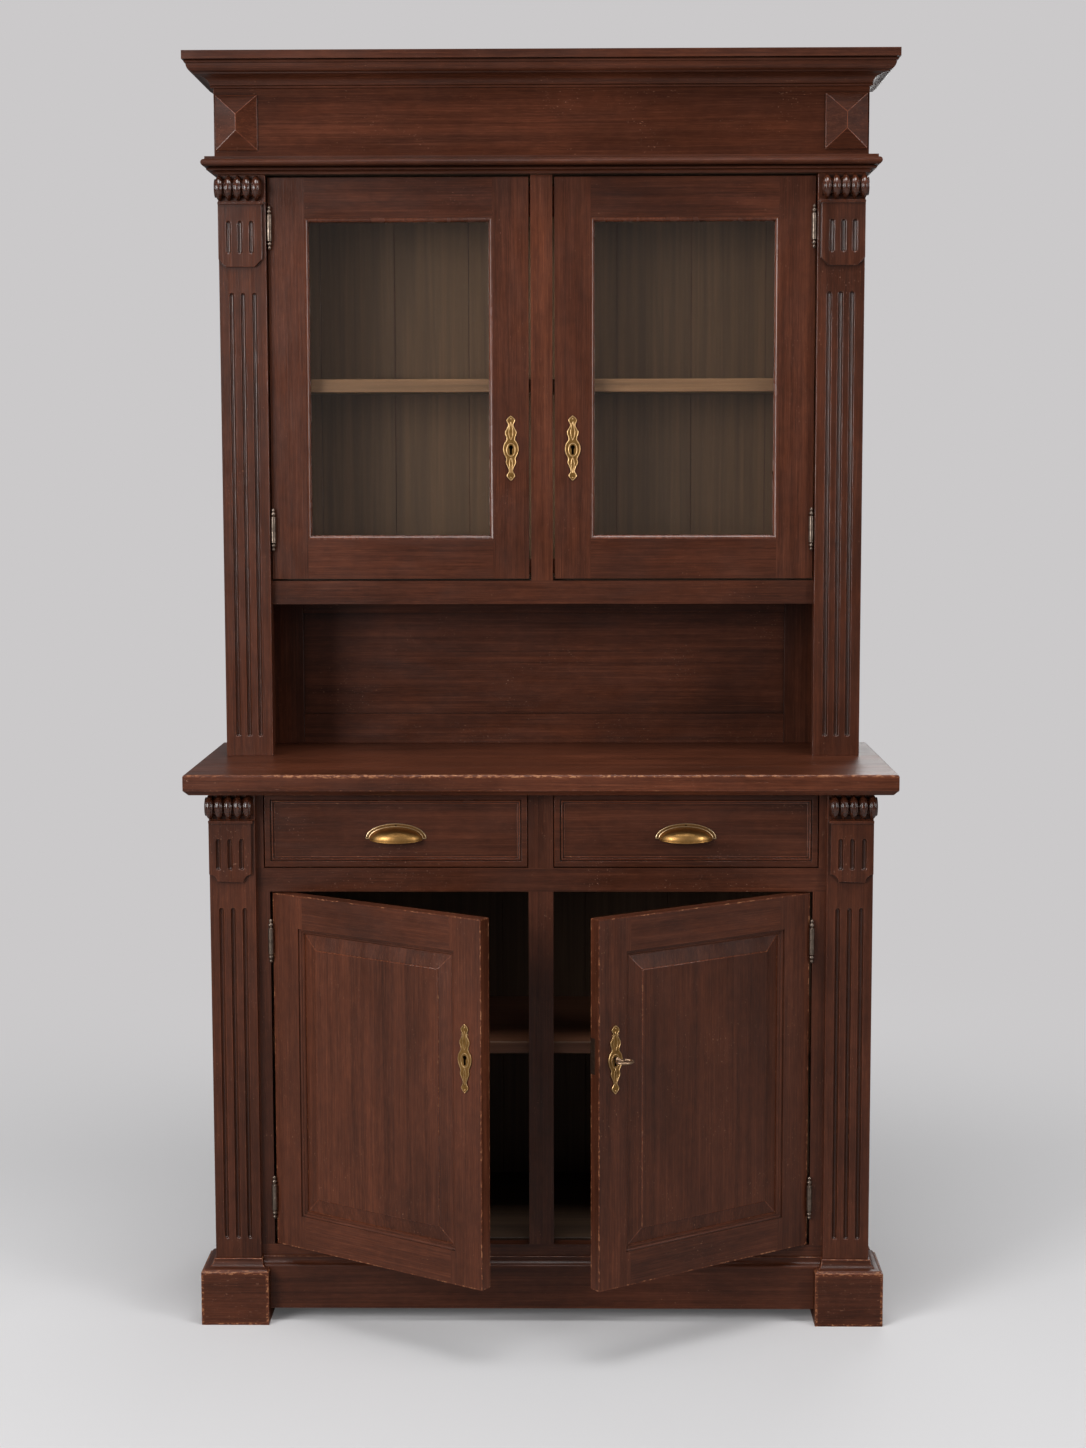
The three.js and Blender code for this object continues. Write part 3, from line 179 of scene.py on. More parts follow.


# Feet and plinth
# Solid pine blocks with a hollow cap, and a plinth board between them that carries a bead and
# a hollow on its upper edge. All is stained dark red-brown and waxed, and scuffed to the bare
# wood along the lower arrises. The eased arrises are lightened as a painted highlight.

def pattern(tree, place, size, detail=2.0, distortion=0.0, shift=0.0, rough=0.5, turn=0.0):
    """Noise whose grains have a real size, in metres along each axis."""
    laid = {0: place, 1: (shift, shift, shift), 2: (0, 0, turn), 3: size}
    cells = add_node(tree, "ShaderNodeMapping", laid, vector_type="TEXTURE").outputs[0]
    noise = {0: cells, "Scale": 1.0, "Detail": detail, "Roughness": rough, "Distortion": distortion}
    return add_node(tree, "ShaderNodeTexNoise", noise).outputs["Fac"]


def coat(tree, base, colour, value, low, high, strength=1.0, least=0.0):
    """Lays a colour over the base, the more of it the nearer the value comes from low to high."""
    layers = {0: map_range(tree, value, low, high, least, strength), 6: base, 7: colour}
    return add_node(tree, "ShaderNodeMix", layers, data_type="RGBA").outputs[2]


def along_grain(grain, along, across):
    """The length and breadth of a figure in wood, set to the axis that its fibres follow."""
    return {"X": (along, across, across), "Y": (across, along, across), "Z": (across, across, along)}[grain]


def stained_pine(name, grain="Z", turn=0.0, tone=1.0, wear=0.0, zone=None, polish=0.0, scuffs=0.0):
    """Pine, planed, stained red-brown and waxed: fine straight grain in narrow streaks, a satin
    surface, pale nicks. grain is the axis that the fibres follow, turn the angle of a door that
    stands open. wear bares the pale wood in patches, inside a zone where one is given, scuffs
    draws short scratches along the fibres, and polish is the shine where hands rub."""
    material, tree, place = blank_material(name)

    def figure(along, across, *settings):
        """A pattern that follows the fibres: its length and its breadth, then as for a pattern."""
        return pattern(tree, place, along_grain(grain, along, across), *settings, turn=turn)

    # Streaks of 2.4 mm, and fibres of 0.7 mm, which are coarser than real ones so that they show.
    year_rings = figure(0.9, 0.012, 3.0, 0.6)
    streaks = figure(0.16, 0.0024, 4.0, 0.15, 3.1, 0.62)
    fibres = figure(0.022, 0.0007, 2.0, 0.0, 1.7)
    base = linear("#401F12")
    for colour, value, low, high, strength in (
        ("#522A1A", year_rings, 0.32, 0.68, 1.0),
        ("#220E06", streaks, 0.50, 0.70, 0.36),
        ("#784631", streaks, 0.46, 0.30, 0.26),
        ("#74422B", fibres, 0.5, 0.72, 0.3),
    ):
        base = coat(tree, base, linear(colour), value, low, high, strength)

    # The stain took unevenly, in clouds of a hand's breadth and in finer mottling.
    lift = tone
    cloud = figure(0.30, 0.11, 3.0, 0.4, 5.3)
    mottle = figure(0.03, 0.018, 4.0, 0.6, 8.1, 0.6)
    for value, least, most in ((cloud, 0.70, 1.34), (mottle, 0.86, 1.14)):
        lift = calculate(tree, "MULTIPLY", map_range(tree, value, 0.3, 0.7, least, most), lift)
    stain = {0: 1.0, 6: base, 7: lift}
    base = add_node(tree, "ShaderNodeMix", stain, data_type="RGBA", blend_type="MULTIPLY").outputs[2]

    # Dust-pale nicks and short scratches, a few millimetres long, in loose groups.
    groups = map_range(tree, figure(0.11, 0.08, 2.0, 0.0, 2.2), 0.50, 0.66)
    nicks = map_range(tree, figure(0.0036, 0.0022, 1.0, 0.0, 9.0), 0.715, 0.755, most=groups)
    if scuffs > 0:
        start = 0.76 - 0.1 * scuffs
        lines = figure(0.012, 0.0014, 2.0, 0.4, 6.6, 0.6)
        nicks = calculate(tree, "MAXIMUM", nicks, map_range(tree, lines, start, start + 0.04))
    base = coat(tree, base, linear("#A2735A"), nicks, 0.0, 1.0, 0.62)

    # Bare wood in patches of a few millimetres, each inside a halo where only the wax is gone.
    if wear > 0:
        patch = figure(0.008, 0.0036, 4.0, 0.4, 7.7, 0.65)
        limit = 0.75 - 0.4 * wear
        where = zone(tree, place) if zone else 1.0
        halo = map_range(tree, patch, limit - 0.14, limit, most=where)
        bare = map_range(tree, patch, limit, limit + 0.05, most=where)
        base = coat(tree, base, linear("#7C4128"), halo, 0.0, 1.0, 0.6)
        wood = coat(tree, linear("#C08A62"), linear("#95583A"), streaks, 0.3, 0.7)
        low, high = (0.25, 0.6) if zone else (0.0, 1.0)
        base = coat(tree, base, wood, bare, low, high, 0.9)

    # Painted shade: the colour darkens in the hollows of the piece, the more its own shape hems them in.
    hollows = {"Distance": 0.014}
    painted_shade_ao = add_node(tree, "ShaderNodeAmbientOcclusion", hollows, samples=2, only_local=True)
    base = coat(tree, base, linear("#150A05"), painted_shade_ao.outputs["AO"], 0.92, 0.40, 0.85)

    shine = figure(0.10, 0.03, 3.0, 0.4, 4.4)
    rough = map_range(tree, shine, 0.3, 0.7, 0.28 - polish / 10, 0.4 - polish / 10)
    heights = 0.0
    for value, height in ((fibres, 0.5), (streaks, 0.9), (nicks, -1.2)):
        heights = calculate(tree, "MULTIPLY_ADD", value, height, heights)
    mirroring = 0.34 + polish / 3
    surface = {"Base Color": base, "Roughness": rough, "IOR": 1.5, "Specular IOR Level": mirroring}
    add_node(tree, "ShaderNodeOutputMaterial", {0: relief_shader(tree, surface, heights, 0.3, 0.0006)})
    return material


def near_arrises(low, high, reach, mirrored=False, centre=(0, 0), turn=0.0):
    """Strong within reach of the arrises of a box, where two of its faces are near. The box may
    be mirrored about the middle of the dresser, or turned about a centre as a door is."""
    def zone(tree, place):
        laid = {0: place, 1: (centre[0], centre[1], 0), 2: (0, 0, turn)}
        level = add_node(tree, "ShaderNodeMapping", laid, vector_type="TEXTURE").outputs[0]
        parts = add_node(tree, "ShaderNodeSeparateXYZ", {0: level}).outputs
        faces = -1.0
        for axis in range(3):
            value = parts[axis]
            if mirrored and axis == 0:
                value = calculate(tree, "ABSOLUTE", value)
            near = []
            for face, inside in ((low[axis], reach), (high[axis], -reach)):
                near.append(map_range(tree, value, face + inside, face + inside / 4))
            faces = calculate(tree, "ADD", calculate(tree, "MAXIMUM", *near), faces)
        return calculate(tree, "MAXIMUM", faces, 0.0, use_clamp=True)
    return zone


def solid_of(node, seams=(), whole=True):
    """A welded copy of a CAD node, its flat faces whole again except along the seams."""
    solid = bmesh.new()
    solid.from_mesh(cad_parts[node].data)
    bmesh.ops.remove_doubles(solid, verts=solid.verts, dist=0.00001)
    bmesh.ops.dissolve_degenerate(solid, dist=0.00002, edges=solid.edges)
    if whole:
        join_faces(solid, seams)
    return solid


def saw(solid, normal, offset, **settings):
    """Cuts a solid along a plane, given by its normal and its offset from the origin."""
    parts = solid.verts[:] + solid.edges[:] + solid.faces[:]
    return bmesh.ops.bisect_plane(solid, geom=parts, dist=0.000002, plane_co=normal * offset,
                                  plane_no=normal, **settings)


def join_faces(solid, seams=()):
    """Joins the triangles of each flat face. A seam, a plane through every hole of a pierced
    face, keeps the parts of that face simple."""
    for normal, offset in seams:
        for part in saw(solid, Vector(normal), offset)["geom_cut"]:
            if isinstance(part, bmesh.types.BMEdge):
                part.seam = True
    bmesh.ops.dissolve_limit(solid, angle_limit=radians(0.8), verts=solid.verts, edges=solid.edges,
                             delimit={"SEAM"})


def board_from(solid, *planes):
    """The board that lies behind every plane, each a normal and an offset, closed where it was sawn."""
    board = solid.copy()
    for normal, offset in planes:
        saw(board, Vector(normal).normalized(), offset, clear_outer=True)
        open_edges = [edge for edge in board.edges if len(edge.link_faces) == 1]
        bmesh.ops.holes_fill(board, edges=open_edges, sides=0)
    bmesh.ops.recalc_face_normals(board, faces=board.faces)
    return board


def settle(obj):
    """Turns what the modifiers show into the plain mesh, and takes them off."""
    bpy.context.view_layer.update()
    evaluated = obj.evaluated_get(bpy.context.evaluated_depsgraph_get())
    mesh = bpy.data.meshes.new_from_object(evaluated)
    mesh.name = obj.name
    obj.modifiers.clear()
    obj.data = mesh


def make_piece(name, boards, finishes, body, nodes=(), arris=0.001, soft=38):
    """Joins boards, each with the number of its finish, eases their arrises in the last finish,
    and lets the piece stand for its CAD nodes. Faces that meet at less than soft degrees are
    shaded as one rounded shape."""
    mesh = bpy.data.meshes.new(name)
    whole = bmesh.new()
    for board, finish in boards:
        for face in board.faces:
            face.material_index = finish
            bends = [edge.calc_face_angle(0) for edge in face.edges]
            face.smooth = any(radians(1.5) < bend < radians(soft) for bend in bends)
        part = bpy.data.meshes.new("part")
        board.to_mesh(part)
        whole.from_mesh(part)
        bpy.data.meshes.remove(part)
    whole.to_mesh(mesh)
    whole.free()
    mesh.set_sharp_from_angle(angle=radians(soft))
    for finish in finishes:
        mesh.materials.append(finish)
    obj = into_scene(name, mesh)
    if arris:
        bevel = obj.modifiers.new("eased_arris", "BEVEL")
        bevel.width = arris
        bevel.segments = 2
        bevel.limit_method = "ANGLE"
        bevel.angle_limit = radians(soft)
        bevel.material = len(finishes) - 1
        bevel.use_clamp_overlap = True
        weighted = obj.modifiers.new("flat_faces", "WEIGHTED_NORMAL")
        weighted.keep_sharp = True
        settle(obj)
    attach(obj, body)
    if nodes:
        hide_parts(*nodes)


def make_board(node, kind, finish, edge, body="case", arris=0.001, soft=38):
    """A piece that is the whole of one CAD node, with a finish for its faces and one for its arrises."""
    make_piece(f"{node}_{kind}", [(solid_of(node), 0)], [finish, edge], body, [node], arris, soft)


foot_low, foot_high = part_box("foot_right")
foot_top, reach = 0.0885, 0.006
foot_box = ((foot_low[0], foot_low[1], 0.0), (foot_high[0], 1.0, foot_top))
foot_zone = near_arrises(*foot_box, reach, mirrored=True)
foot_pine = stained_pine("stained_pine_foot", "X", tone=1.05, wear=0.56, zone=foot_zone, scuffs=0.6)
# Painted highlight: the scuffed, rubbed and bead finishes below have their stain lightened well past the
# faces', for the light that a rounded arris or bead catches; the wear set in them is real.
scuffed_highlit_pine = stained_pine("stained_pine_scuffed", "X", tone=2.0, wear=0.6, polish=0.6)
pine_x = stained_pine("stained_pine_across", "X")
pine_y = stained_pine("stained_pine_deep", "Y")
pine_z = stained_pine("stained_pine_upright", "Z")
rubbed_highlit_x = stained_pine("stained_pine_across_rubbed", "X", tone=2.3, wear=0.3, polish=1.0)
bead_pine = stained_pine("stained_pine_bead", "Z", tone=1.5, polish=1.0)
rubbed_highlit_z = stained_pine("stained_pine_upright_rubbed", "Z", tone=2.3, wear=0.26, polish=1.0)

for hand in ("left", "right"):
    make_board("foot_" + hand, "block", foot_pine, scuffed_highlit_pine, arris=0.0014)
    make_board("plinth_" + hand, "board", pine_y, rubbed_highlit_x)
make_board("plinth_front", "board", pine_x, scuffed_highlit_pine, arris=0.0009)


# Base case
# Side panels, a nailed back, floor and shelf of thin-stained pine, a dust board with guides
# under the drawers, and a face frame of rails and uprights jointed flush.

def thin_stained_pine(name, grain, dark="#3A2A20", light="#5C4531", rough=0.62):
    """Pine boards inside the case: one thin brown wash, dry and matt, with the grain raised."""
    material, tree, place = blank_material(name)
    # Rings 9 mm wide, and fibres of 1 mm, which are coarser than real ones so that they show.
    ring_length, ring_width, fineness = 0.5, 0.009, 9
    rings = pattern(tree, place, along_grain(grain, ring_length, ring_width), 4.0, 0.7)
    fine = pattern(tree, place, along_grain(grain, ring_length / fineness, ring_width / fineness))
    wash = coat(tree, linear(dark), linear(light), rings, 0.3, 0.7)
    colour = coat(tree, wash, linear(dark), fine, 0.4, 0.75, 0.5)
    surface = {"Base Color": colour, "Roughness": rough}
    add_node(tree, "ShaderNodeOutputMaterial", {0: relief_shader(tree, surface, rings, 0.4, 0.0005)})
    return material


up, down, fore, aft = (0, 0, 1), (0, 0, -1), (0, -1, 0), (0, 1, 0)
rightward, leftward = (1, 0, 0), (-1, 0, 0)
inner_x = thin_stained_pine("thin_stained_pine_across", "X")
inner_y = thin_stained_pine("thin_stained_pine_deep", "Y")
inner_z = thin_stained_pine("thin_stained_pine_upright", "Z", "#4B3523", "#644A34")
shelf_arris = thin_stained_pine("thin_stained_pine_handled", "X", "#6A4C38", "#93704F", 0.5)
base_shelf_pine = thin_stained_pine("thin_stained_pine_shelf", "X", "#6B422E", "#8A5B41", 0.5)

for hand in ("left", "right"):
    make_board("base_side_" + hand, "panel", pine_z, rubbed_highlit_z)
make_board("base_floor", "board", inner_x, inner_x)
make_board("base_shelf", "board", base_shelf_pine, shelf_arris)
make_board("drawer_dust_board", "board", inner_y, inner_y)

base_frame = solid_of("base_face_frame")
door_top, drawer_foot, sill = 0.7104, 0.7491, 0.1256
frame_boards = [
    (board_from(base_frame, (down, -drawer_foot)), 1),
    (board_from(base_frame, (up, drawer_foot), (down, -door_top)), 0),
    (board_from(base_frame, (up, door_top), (down, -sill)), 1),
    (board_from(base_frame, (up, sill)), 0),
]
make_piece("base_face_frame_joinery", frame_boards, [pine_x, pine_z, rubbed_highlit_z], "case",
           ["base_face_frame"], 0.0009)


def planks(solid, low, high, count, finish):
    """Upright planks side by side, sawn out of a back at equal widths."""
    edges = [low + (high - low) * i / count for i in range(count + 1)]
    cuts = [((rightward, right), (leftward, -left)) for left, right in zip(edges, edges[1:])]
    return [(board_from(solid, *cut), finish) for cut in cuts]


back_low, back_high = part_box("base_back")
base_planks = planks(solid_of("base_back"), back_low[0], back_high[0], 7, 0)
make_piece("base_back_planks", base_planks, [inner_z, inner_z], "case", ["base_back"], 0.0012)


# Pilasters
# Upright pine boards with a plaque and ledge under the capital and three round-ended flutes,
# glued and pinned to the front edge of each side.

# Painted highlight: the flutes' arris finish is lightened for the light that their rounded edges catch,
# over a little real wear.
flute_arris = stained_pine("stained_pine_flute_arris", "Z", tone=1.45, wear=0.2, polish=1.0)
flute_pitch, flutes_outward = 0.0188, 0.0015

for stage in ("base", "hutch"):
    for hand, side in (("left", -1), ("right", 1)):
        node = f"{stage}_pilaster_{hand}"
        low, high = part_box(node)
        middle = (low[0] + high[0]) / 2 + side * flutes_outward
        # A seam down the middle of each flute keeps the faces beside it simple.
        seams = [((1, 0, 0), middle + step * flute_pitch) for step in (-1, 0, 1)]
        make_piece(node + "_carved", [(solid_of(node, seams), 0)], [pine_z, flute_arris], "case",
                   [node])


# Capitals
# A turned pine roll across the head of each pilaster, carved into five bean-shaped lobes that
# narrow towards the top and the bottom, in front of a plain block.

capital_radius = 0.0205
lobe_relief = 0.0056
lobe_count = 5
groove_depth, groove_place, groove_width = 0.0012, 0.52, 0.12
roll_length, roll_end = 0.076, 0.5365
block_end = 0.532


def shape_from(solid, name):
    """A closed shape for a row, as an object of its own."""
    bmesh.ops.recalc_face_normals(solid, faces=solid.faces)
    mesh = bpy.data.meshes.new(name)
    solid.to_mesh(mesh)
    solid.free()
    return into_scene(name, mesh)


def carved_lobe(pitch):
    """One lobe about the X axis: its rim swells in the middle, pinches above and below, and has a
    thin groove to each side of the swelling."""
    rows, turns = 24, 48
    solid = bmesh.new()
    rings = []
    for i in range(rows + 1):
        across = -1 + 2 * i / rows
        ring = []
        for j in range(turns):
            angle = 2 * pi * j / turns
            # A lobe takes all of the pitch in front, and a little over half of it above and below.
            facing = cos(angle) ** 2
            width = 0.55 + 0.42 * facing
            swell = sqrt(max(0.0, 1 - (across / width) ** 2))
            from_groove = abs(abs(across) / width - groove_place)
            groove = groove_depth * max(0.0, 1 - from_groove / groove_width)
            radius = capital_radius - lobe_relief * (1 - swell) - groove * facing
            point = (across * pitch / 2, -radius * cos(angle), radius * sin(angle))
            ring.append(solid.verts.new(point))
        rings.append(ring)
    for a, b in zip(rings, rings[1:]):
        for j in range(turns):
            k = (j + 1) % turns
            solid.faces.new((a[j], b[j], b[k], a[k]))
    for ring in (rings[0], rings[-1]):
        centre = solid.verts.new((ring[0].co.x, 0, 0))
        for j in range(turns):
            solid.faces.new((ring[j], ring[(j + 1) % turns], centre))
    for face in solid.faces:
        face.smooth = True
    return shape_from(solid, "carved_lobe")


def row_tree(name):
    """Geometry Nodes: sets copies of one shape in a straight row, then makes them real."""
    tree = bpy.data.node_groups.new(name, "GeometryNodeTree")
    face = tree.interface
    face.new_socket("Geometry", in_out="INPUT", socket_type="NodeSocketGeometry")
    inputs = {"Shape": "Object", "Count": "Int", "First": "Vector", "Step": "Vector", "Finish": "Material"}
    for label, kind in inputs.items():
        face.new_socket(label, in_out="INPUT", socket_type="NodeSocket" + kind)
    face.new_socket("Geometry", in_out="OUTPUT", socket_type="NodeSocketGeometry")
    given = add_node(tree, "NodeGroupInput").outputs
    places = {"Count": given["Count"], "Start Location": given["First"], "Offset": given["Step"]}
    line = add_node(tree, "GeometryNodeMeshLine", places, mode="OFFSET")
    shape = add_node(tree, "GeometryNodeObjectInfo", {"Object": given["Shape"]}, transform_space="ORIGINAL")
    set_out = {"Points": line.outputs["Mesh"], "Instance": shape.outputs["Geometry"]}
    copies = add_node(tree, "GeometryNodeInstanceOnPoints", set_out)
    real = add_node(tree, "GeometryNodeRealizeInstances", {0: copies.outputs["Instances"]})
    coated = {"Geometry": real.outputs[0], "Material": given["Finish"]}
    finished = add_node(tree, "GeometryNodeSetMaterial", coated)
    add_node(tree, "NodeGroupOutput", {0: finished.outputs[0]})
    return tree


row_of_shapes = row_tree("row_of_shapes")


def row_of(name, shape, count, first, step, finish):
    """A mesh of copies of a shape in a straight row."""
    obj = into_scene(name, bpy.data.meshes.new(name))
    modifier = obj.modifiers.new("row", "NODES")
    modifier.node_group = row_of_shapes
    wanted = {"Shape": shape, "Count": count, "First": first, "Step": step, "Finish": finish}
    for item in row_of_shapes.interface.items_tree:
        if item.in_out == "INPUT" and item.name in wanted:
            modifier[item.identifier] = wanted[item.name]
    settle(obj)
    return obj


carved_pine = stained_pine("stained_pine_carved", "X", tone=0.92, wear=0.1, polish=1.7)
for stage, inner_end in (("base", 0.458), ("hutch", 0.454)):
    for side, hand in ((-1, "left"), (1, "right")):
        node = f"{stage}_capital_{hand}"
        low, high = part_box(node)
        front = low[1] + capital_radius
        pitch = roll_length / lobe_count
        lobe = carved_lobe(pitch)
        first = (side * (roll_end - pitch / 2), front, (low[2] + high[2]) / 2)
        roll = row_of(node + "_roll", lobe, lobe_count, first, (-side * pitch, 0, 0), carved_pine)
        bpy.data.objects.remove(lobe)
        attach(roll, "case")
        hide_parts(node)
        ends = (((side, 0, 0), block_end), ((-side, 0, 0), -inner_end))
        block = board_from(solid_of(node), (fore, -front), *ends)
        make_piece(node + "_block", [(block, 0)], [pine_z, rubbed_highlit_z], "case", [node])


# Worktop
# Three pine boards glued edge to edge, chamfered below and rounded above. Years of use have
# rubbed the front arris pale, most of all left of the middle.

def front_arris(tree, place):
    """Strong on the upper front arris, most of all between the left pilaster and the middle."""
    axes = add_node(tree, "ShaderNodeSeparateXYZ", {0: place}).outputs
    zone = 1.0
    for axis, start, full, least in (
        ("X", -0.44, -0.36, 0.5),
        ("X", 0.12, 0.0, 0.55),
        ("Y", -0.105, -0.115, 0.0),
        ("Z", 0.8995, 0.9035, 0.0),
    ):
        zone = calculate(tree, "MULTIPLY", map_range(tree, axes[axis], start, full, least), zone)
    return zone


worktop_pine = stained_pine("stained_pine_worktop", "X", tone=1.35, wear=0.6, zone=front_arris, scuffs=0.3)
# Painted highlight: the worktop's arris finish is lightened past the boards', over real wear on the arris.
worktop_arris = stained_pine("stained_pine_worktop_arris", "X", tone=1.9, wear=0.35, polish=0.8)
worktop = solid_of("worktop")
front_joint, rear_joint = -0.018, 0.118
worktop_boards = [
    (board_from(worktop, (aft, front_joint)), 0),
    (board_from(worktop, (fore, -front_joint), (aft, rear_joint)), 0),
    (board_from(worktop, (fore, -rear_joint)), 0),
]
make_piece("worktop_boards", worktop_boards, [worktop_pine, worktop_arris], "case",
           ["worktop"], 0.0006)


# Hutch case
# Sides, floor over the niche, shelf and top board, with a back of planks in the cupboard, a
# flat panel in the niche and a thin frame before both. The face frame has a rail above and
# below the doors, and a mullion between them.

hutch_shelf_pine = thin_stained_pine("thin_stained_pine_hutch_shelf", "X", "#5E442F", "#85644A", 0.5)
for hand in ("left", "right"):
    make_board("hutch_side_" + hand, "panel", pine_z, rubbed_highlit_z)
make_board("hutch_floor", "board", inner_x, inner_x)
make_board("hutch_shelf", "board", hutch_shelf_pine, shelf_arris, arris=0.0012)
make_board("hutch_top", "board", inner_x, inner_x)

back_solid = solid_of("hutch_back")
back_low, back_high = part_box("hutch_back")
frame_plane = back_low[1] + 0.0039
panel_plane = back_low[1] + 0.0041
stile_edge, rail_middle, planks_half = 0.4211, 1.18, 0.512
back_parts = [
    (board_from(back_solid, (rightward, -stile_edge), (aft, frame_plane)), 1),
    (board_from(back_solid, (leftward, -stile_edge), (aft, frame_plane)), 1),
]
rails_solid = board_from(back_solid, (rightward, stile_edge), (leftward, stile_edge), (aft, frame_plane))
for rail_low, rail_high in ((back_low[2], 0.9579), (1.1351, 1.2304), (1.8161, back_high[2])):
    back_parts.append((board_from(rails_solid, (down, -rail_low), (up, rail_high)), 0))
plane_panel = board_from(back_solid, (fore, -panel_plane))
back_parts.append((board_from(plane_panel, (up, rail_middle)), 0))
back_parts += planks(board_from(plane_panel, (down, -rail_middle)), -planks_half, planks_half, 8, 2)
make_piece("hutch_back_joinery", back_parts, [pine_x, pine_z, inner_z, pine_z], "case",
           ["hutch_back"], 0.0007)

hutch_frame = solid_of("hutch_face_frame")
mullion_pine = stained_pine("stained_pine_mullion", "Z", tone=1.2)
mullion_foot = 1.2001
frame_boards = [
    (board_from(hutch_frame, (up, mullion_foot)), 0),
    (board_from(hutch_frame, (down, -mullion_foot)), 1),
]
make_piece("hutch_face_frame_joinery", frame_boards, [pine_x, mullion_pine, rubbed_highlit_z], "case",
           ["hutch_face_frame"])


# Neck moulding, frieze and cornice
# Mouldings run in pine and mitred at the corners, pinned round the top of the hutch. The
# frieze carries a hipped block at each end. The cover board lies inside the cornice.

frieze_side, frieze_front = 0.532, 0.13235
inner_side, inner_front = 0.516, frieze_front + 0.016


def mitred(node):
    """Saws a moulding that runs round three sides apart at its mitres."""
    solid = solid_of(node)
    mitre = (frieze_side + frieze_front) / sqrt(2)
    boards = [(board_from(solid, ((-1, 1, 0), mitre), ((1, 1, 0), mitre), (aft, inner_front)), 0)]
    for side in (-1, 1):
        boards.append((board_from(solid, ((-side, -1, 0), -mitre), ((-side, 0, 0), -inner_side)), 1))
    return boards


make_piece("neck_moulding_run", mitred("neck_moulding"), [pine_x, pine_y, rubbed_highlit_x], "case",
           ["neck_moulding"], 0.0005)
frieze_pine = stained_pine("stained_pine_frieze", "X", tone=0.88, polish=-0.7)
make_board("frieze", "boards", frieze_pine, rubbed_highlit_z, arris=0.0006, soft=6)
inside = ((rightward, inner_side), (leftward, inner_side), (fore, -inner_front))
cover = board_from(solid_of("cornice"), *inside)
make_piece("cornice_run", mitred("cornice") + [(cover, 0)], [pine_x, pine_y, rubbed_highlit_x], "case",
           ["cornice"], 0.0006)


# Drawers
# A moulded pine front on a dovetailed box. The cup pull is pressed from sheet brass, with a
# flat rim between two raised lines, and hangs from a pin.

def aged_metal(name, colour, dark, rough):
    """Brass, bronze or iron that was polished long ago: bright where hands rub it, browned in
    patches of a centimetre elsewhere, with pits that are drawn 1.6 mm wide so that they show."""
    material, tree, place = blank_material(name)
    patches = pattern(tree, place, (0.011, 0.011, 0.011), 4.0, rough=0.6)
    pits = pattern(tree, place, (0.0016, 0.0016, 0.0016))
    tone = coat(tree, linear(colour), linear(dark), patches, 0.35, 0.75, 0.75, 0.05)
    dull = map_range(tree, patches, 0.35, 0.75, rough, rough + 0.25)
    surface = {"Base Color": tone, "Metallic": 1.0, "Roughness": dull}
    add_node(tree, "ShaderNodeOutputMaterial", {0: relief_shader(tree, surface, pits, 0.2, 0.0002)})
    return material


pull_brass = aged_metal("aged_brass_pull", "#CB9C5E", "#8F6536", 0.33)
rim_brass = aged_metal("aged_brass_rim", "#A07648", "#4A3018", 0.36)
# Painted highlight: the raised lines are rubbed brass, made paler still for the light that they catch.
line_brass = aged_metal("rubbed_brass_rim_line", "#E6CDA6", "#B08C62", 0.3)
dark_pin = aged_metal("dark_pin", "#3A2A1C", "#17100A", 0.5)
cup_half, cup_rise, cup_depth, cup_wall = 0.042, 0.0185, 0.023, 0.0012
rim_width, rim_thick = 0.007, 0.0011


def bead(solid, points, radius, closed=False, sides=8):
    """A round raised line along points, added to a mesh under construction."""
    path = [Vector(p) for p in points]
    count = len(path)
    rings = []
    for i, here in enumerate(path):
        before = path[(i - 1) % count] if closed or i else here
        after = path[(i + 1) % count] if closed or i < count - 1 else here
        along = (after - before).normalized()
        depth = Vector((0, 1, 0))
        if abs(along.dot(depth)) > 0.95:
            depth = Vector((1, 0, 0))
        across = along.cross(depth).normalized()
        depth = across.cross(along).normalized()
        angles = [2 * pi * k / sides for k in range(sides)]
        rings.append([solid.verts.new(here + radius * (cos(a) * across + sin(a) * depth)) for a in angles])
    spans = list(zip(rings, rings[1:])) + ([(rings[-1], rings[0])] if closed else [])
    for a, b in spans:
        for k in range(sides):
            m = (k + 1) % sides
            solid.faces.new((a[k], a[m], b[m], b[k]))
    if not closed:
        solid.faces.new(rings[0][::-1])
        solid.faces.new(rings[-1])


def lathe(solid, profile, centre, axis=(0, 0, 1), segments=24):
    """A turned form from (radius, height) points that start and end on the axis."""
    turn = Vector((0, 0, 1)).rotation_difference(Vector(axis)).to_matrix()
    rings = []
    for radius, height in profile:
        angles = [2 * pi * k / segments for k in range(segments if radius > 0 else 1)]
        ring = [turn @ Vector((radius * cos(a), radius * sin(a), height)) + Vector(centre) for a in angles]
        rings.append([solid.verts.new(point) for point in ring])
    for a, b in zip(rings, rings[1:]):
        for k in range(segments):
            m = (k + 1) % segments
            if len(a) == 1:
                solid.faces.new((a[0], b[m], b[k]))
            elif len(b) == 1:
                solid.faces.new((a[k], a[m], b[0]))
            else:
                solid.faces.new((a[k], a[m], b[m], b[k]))


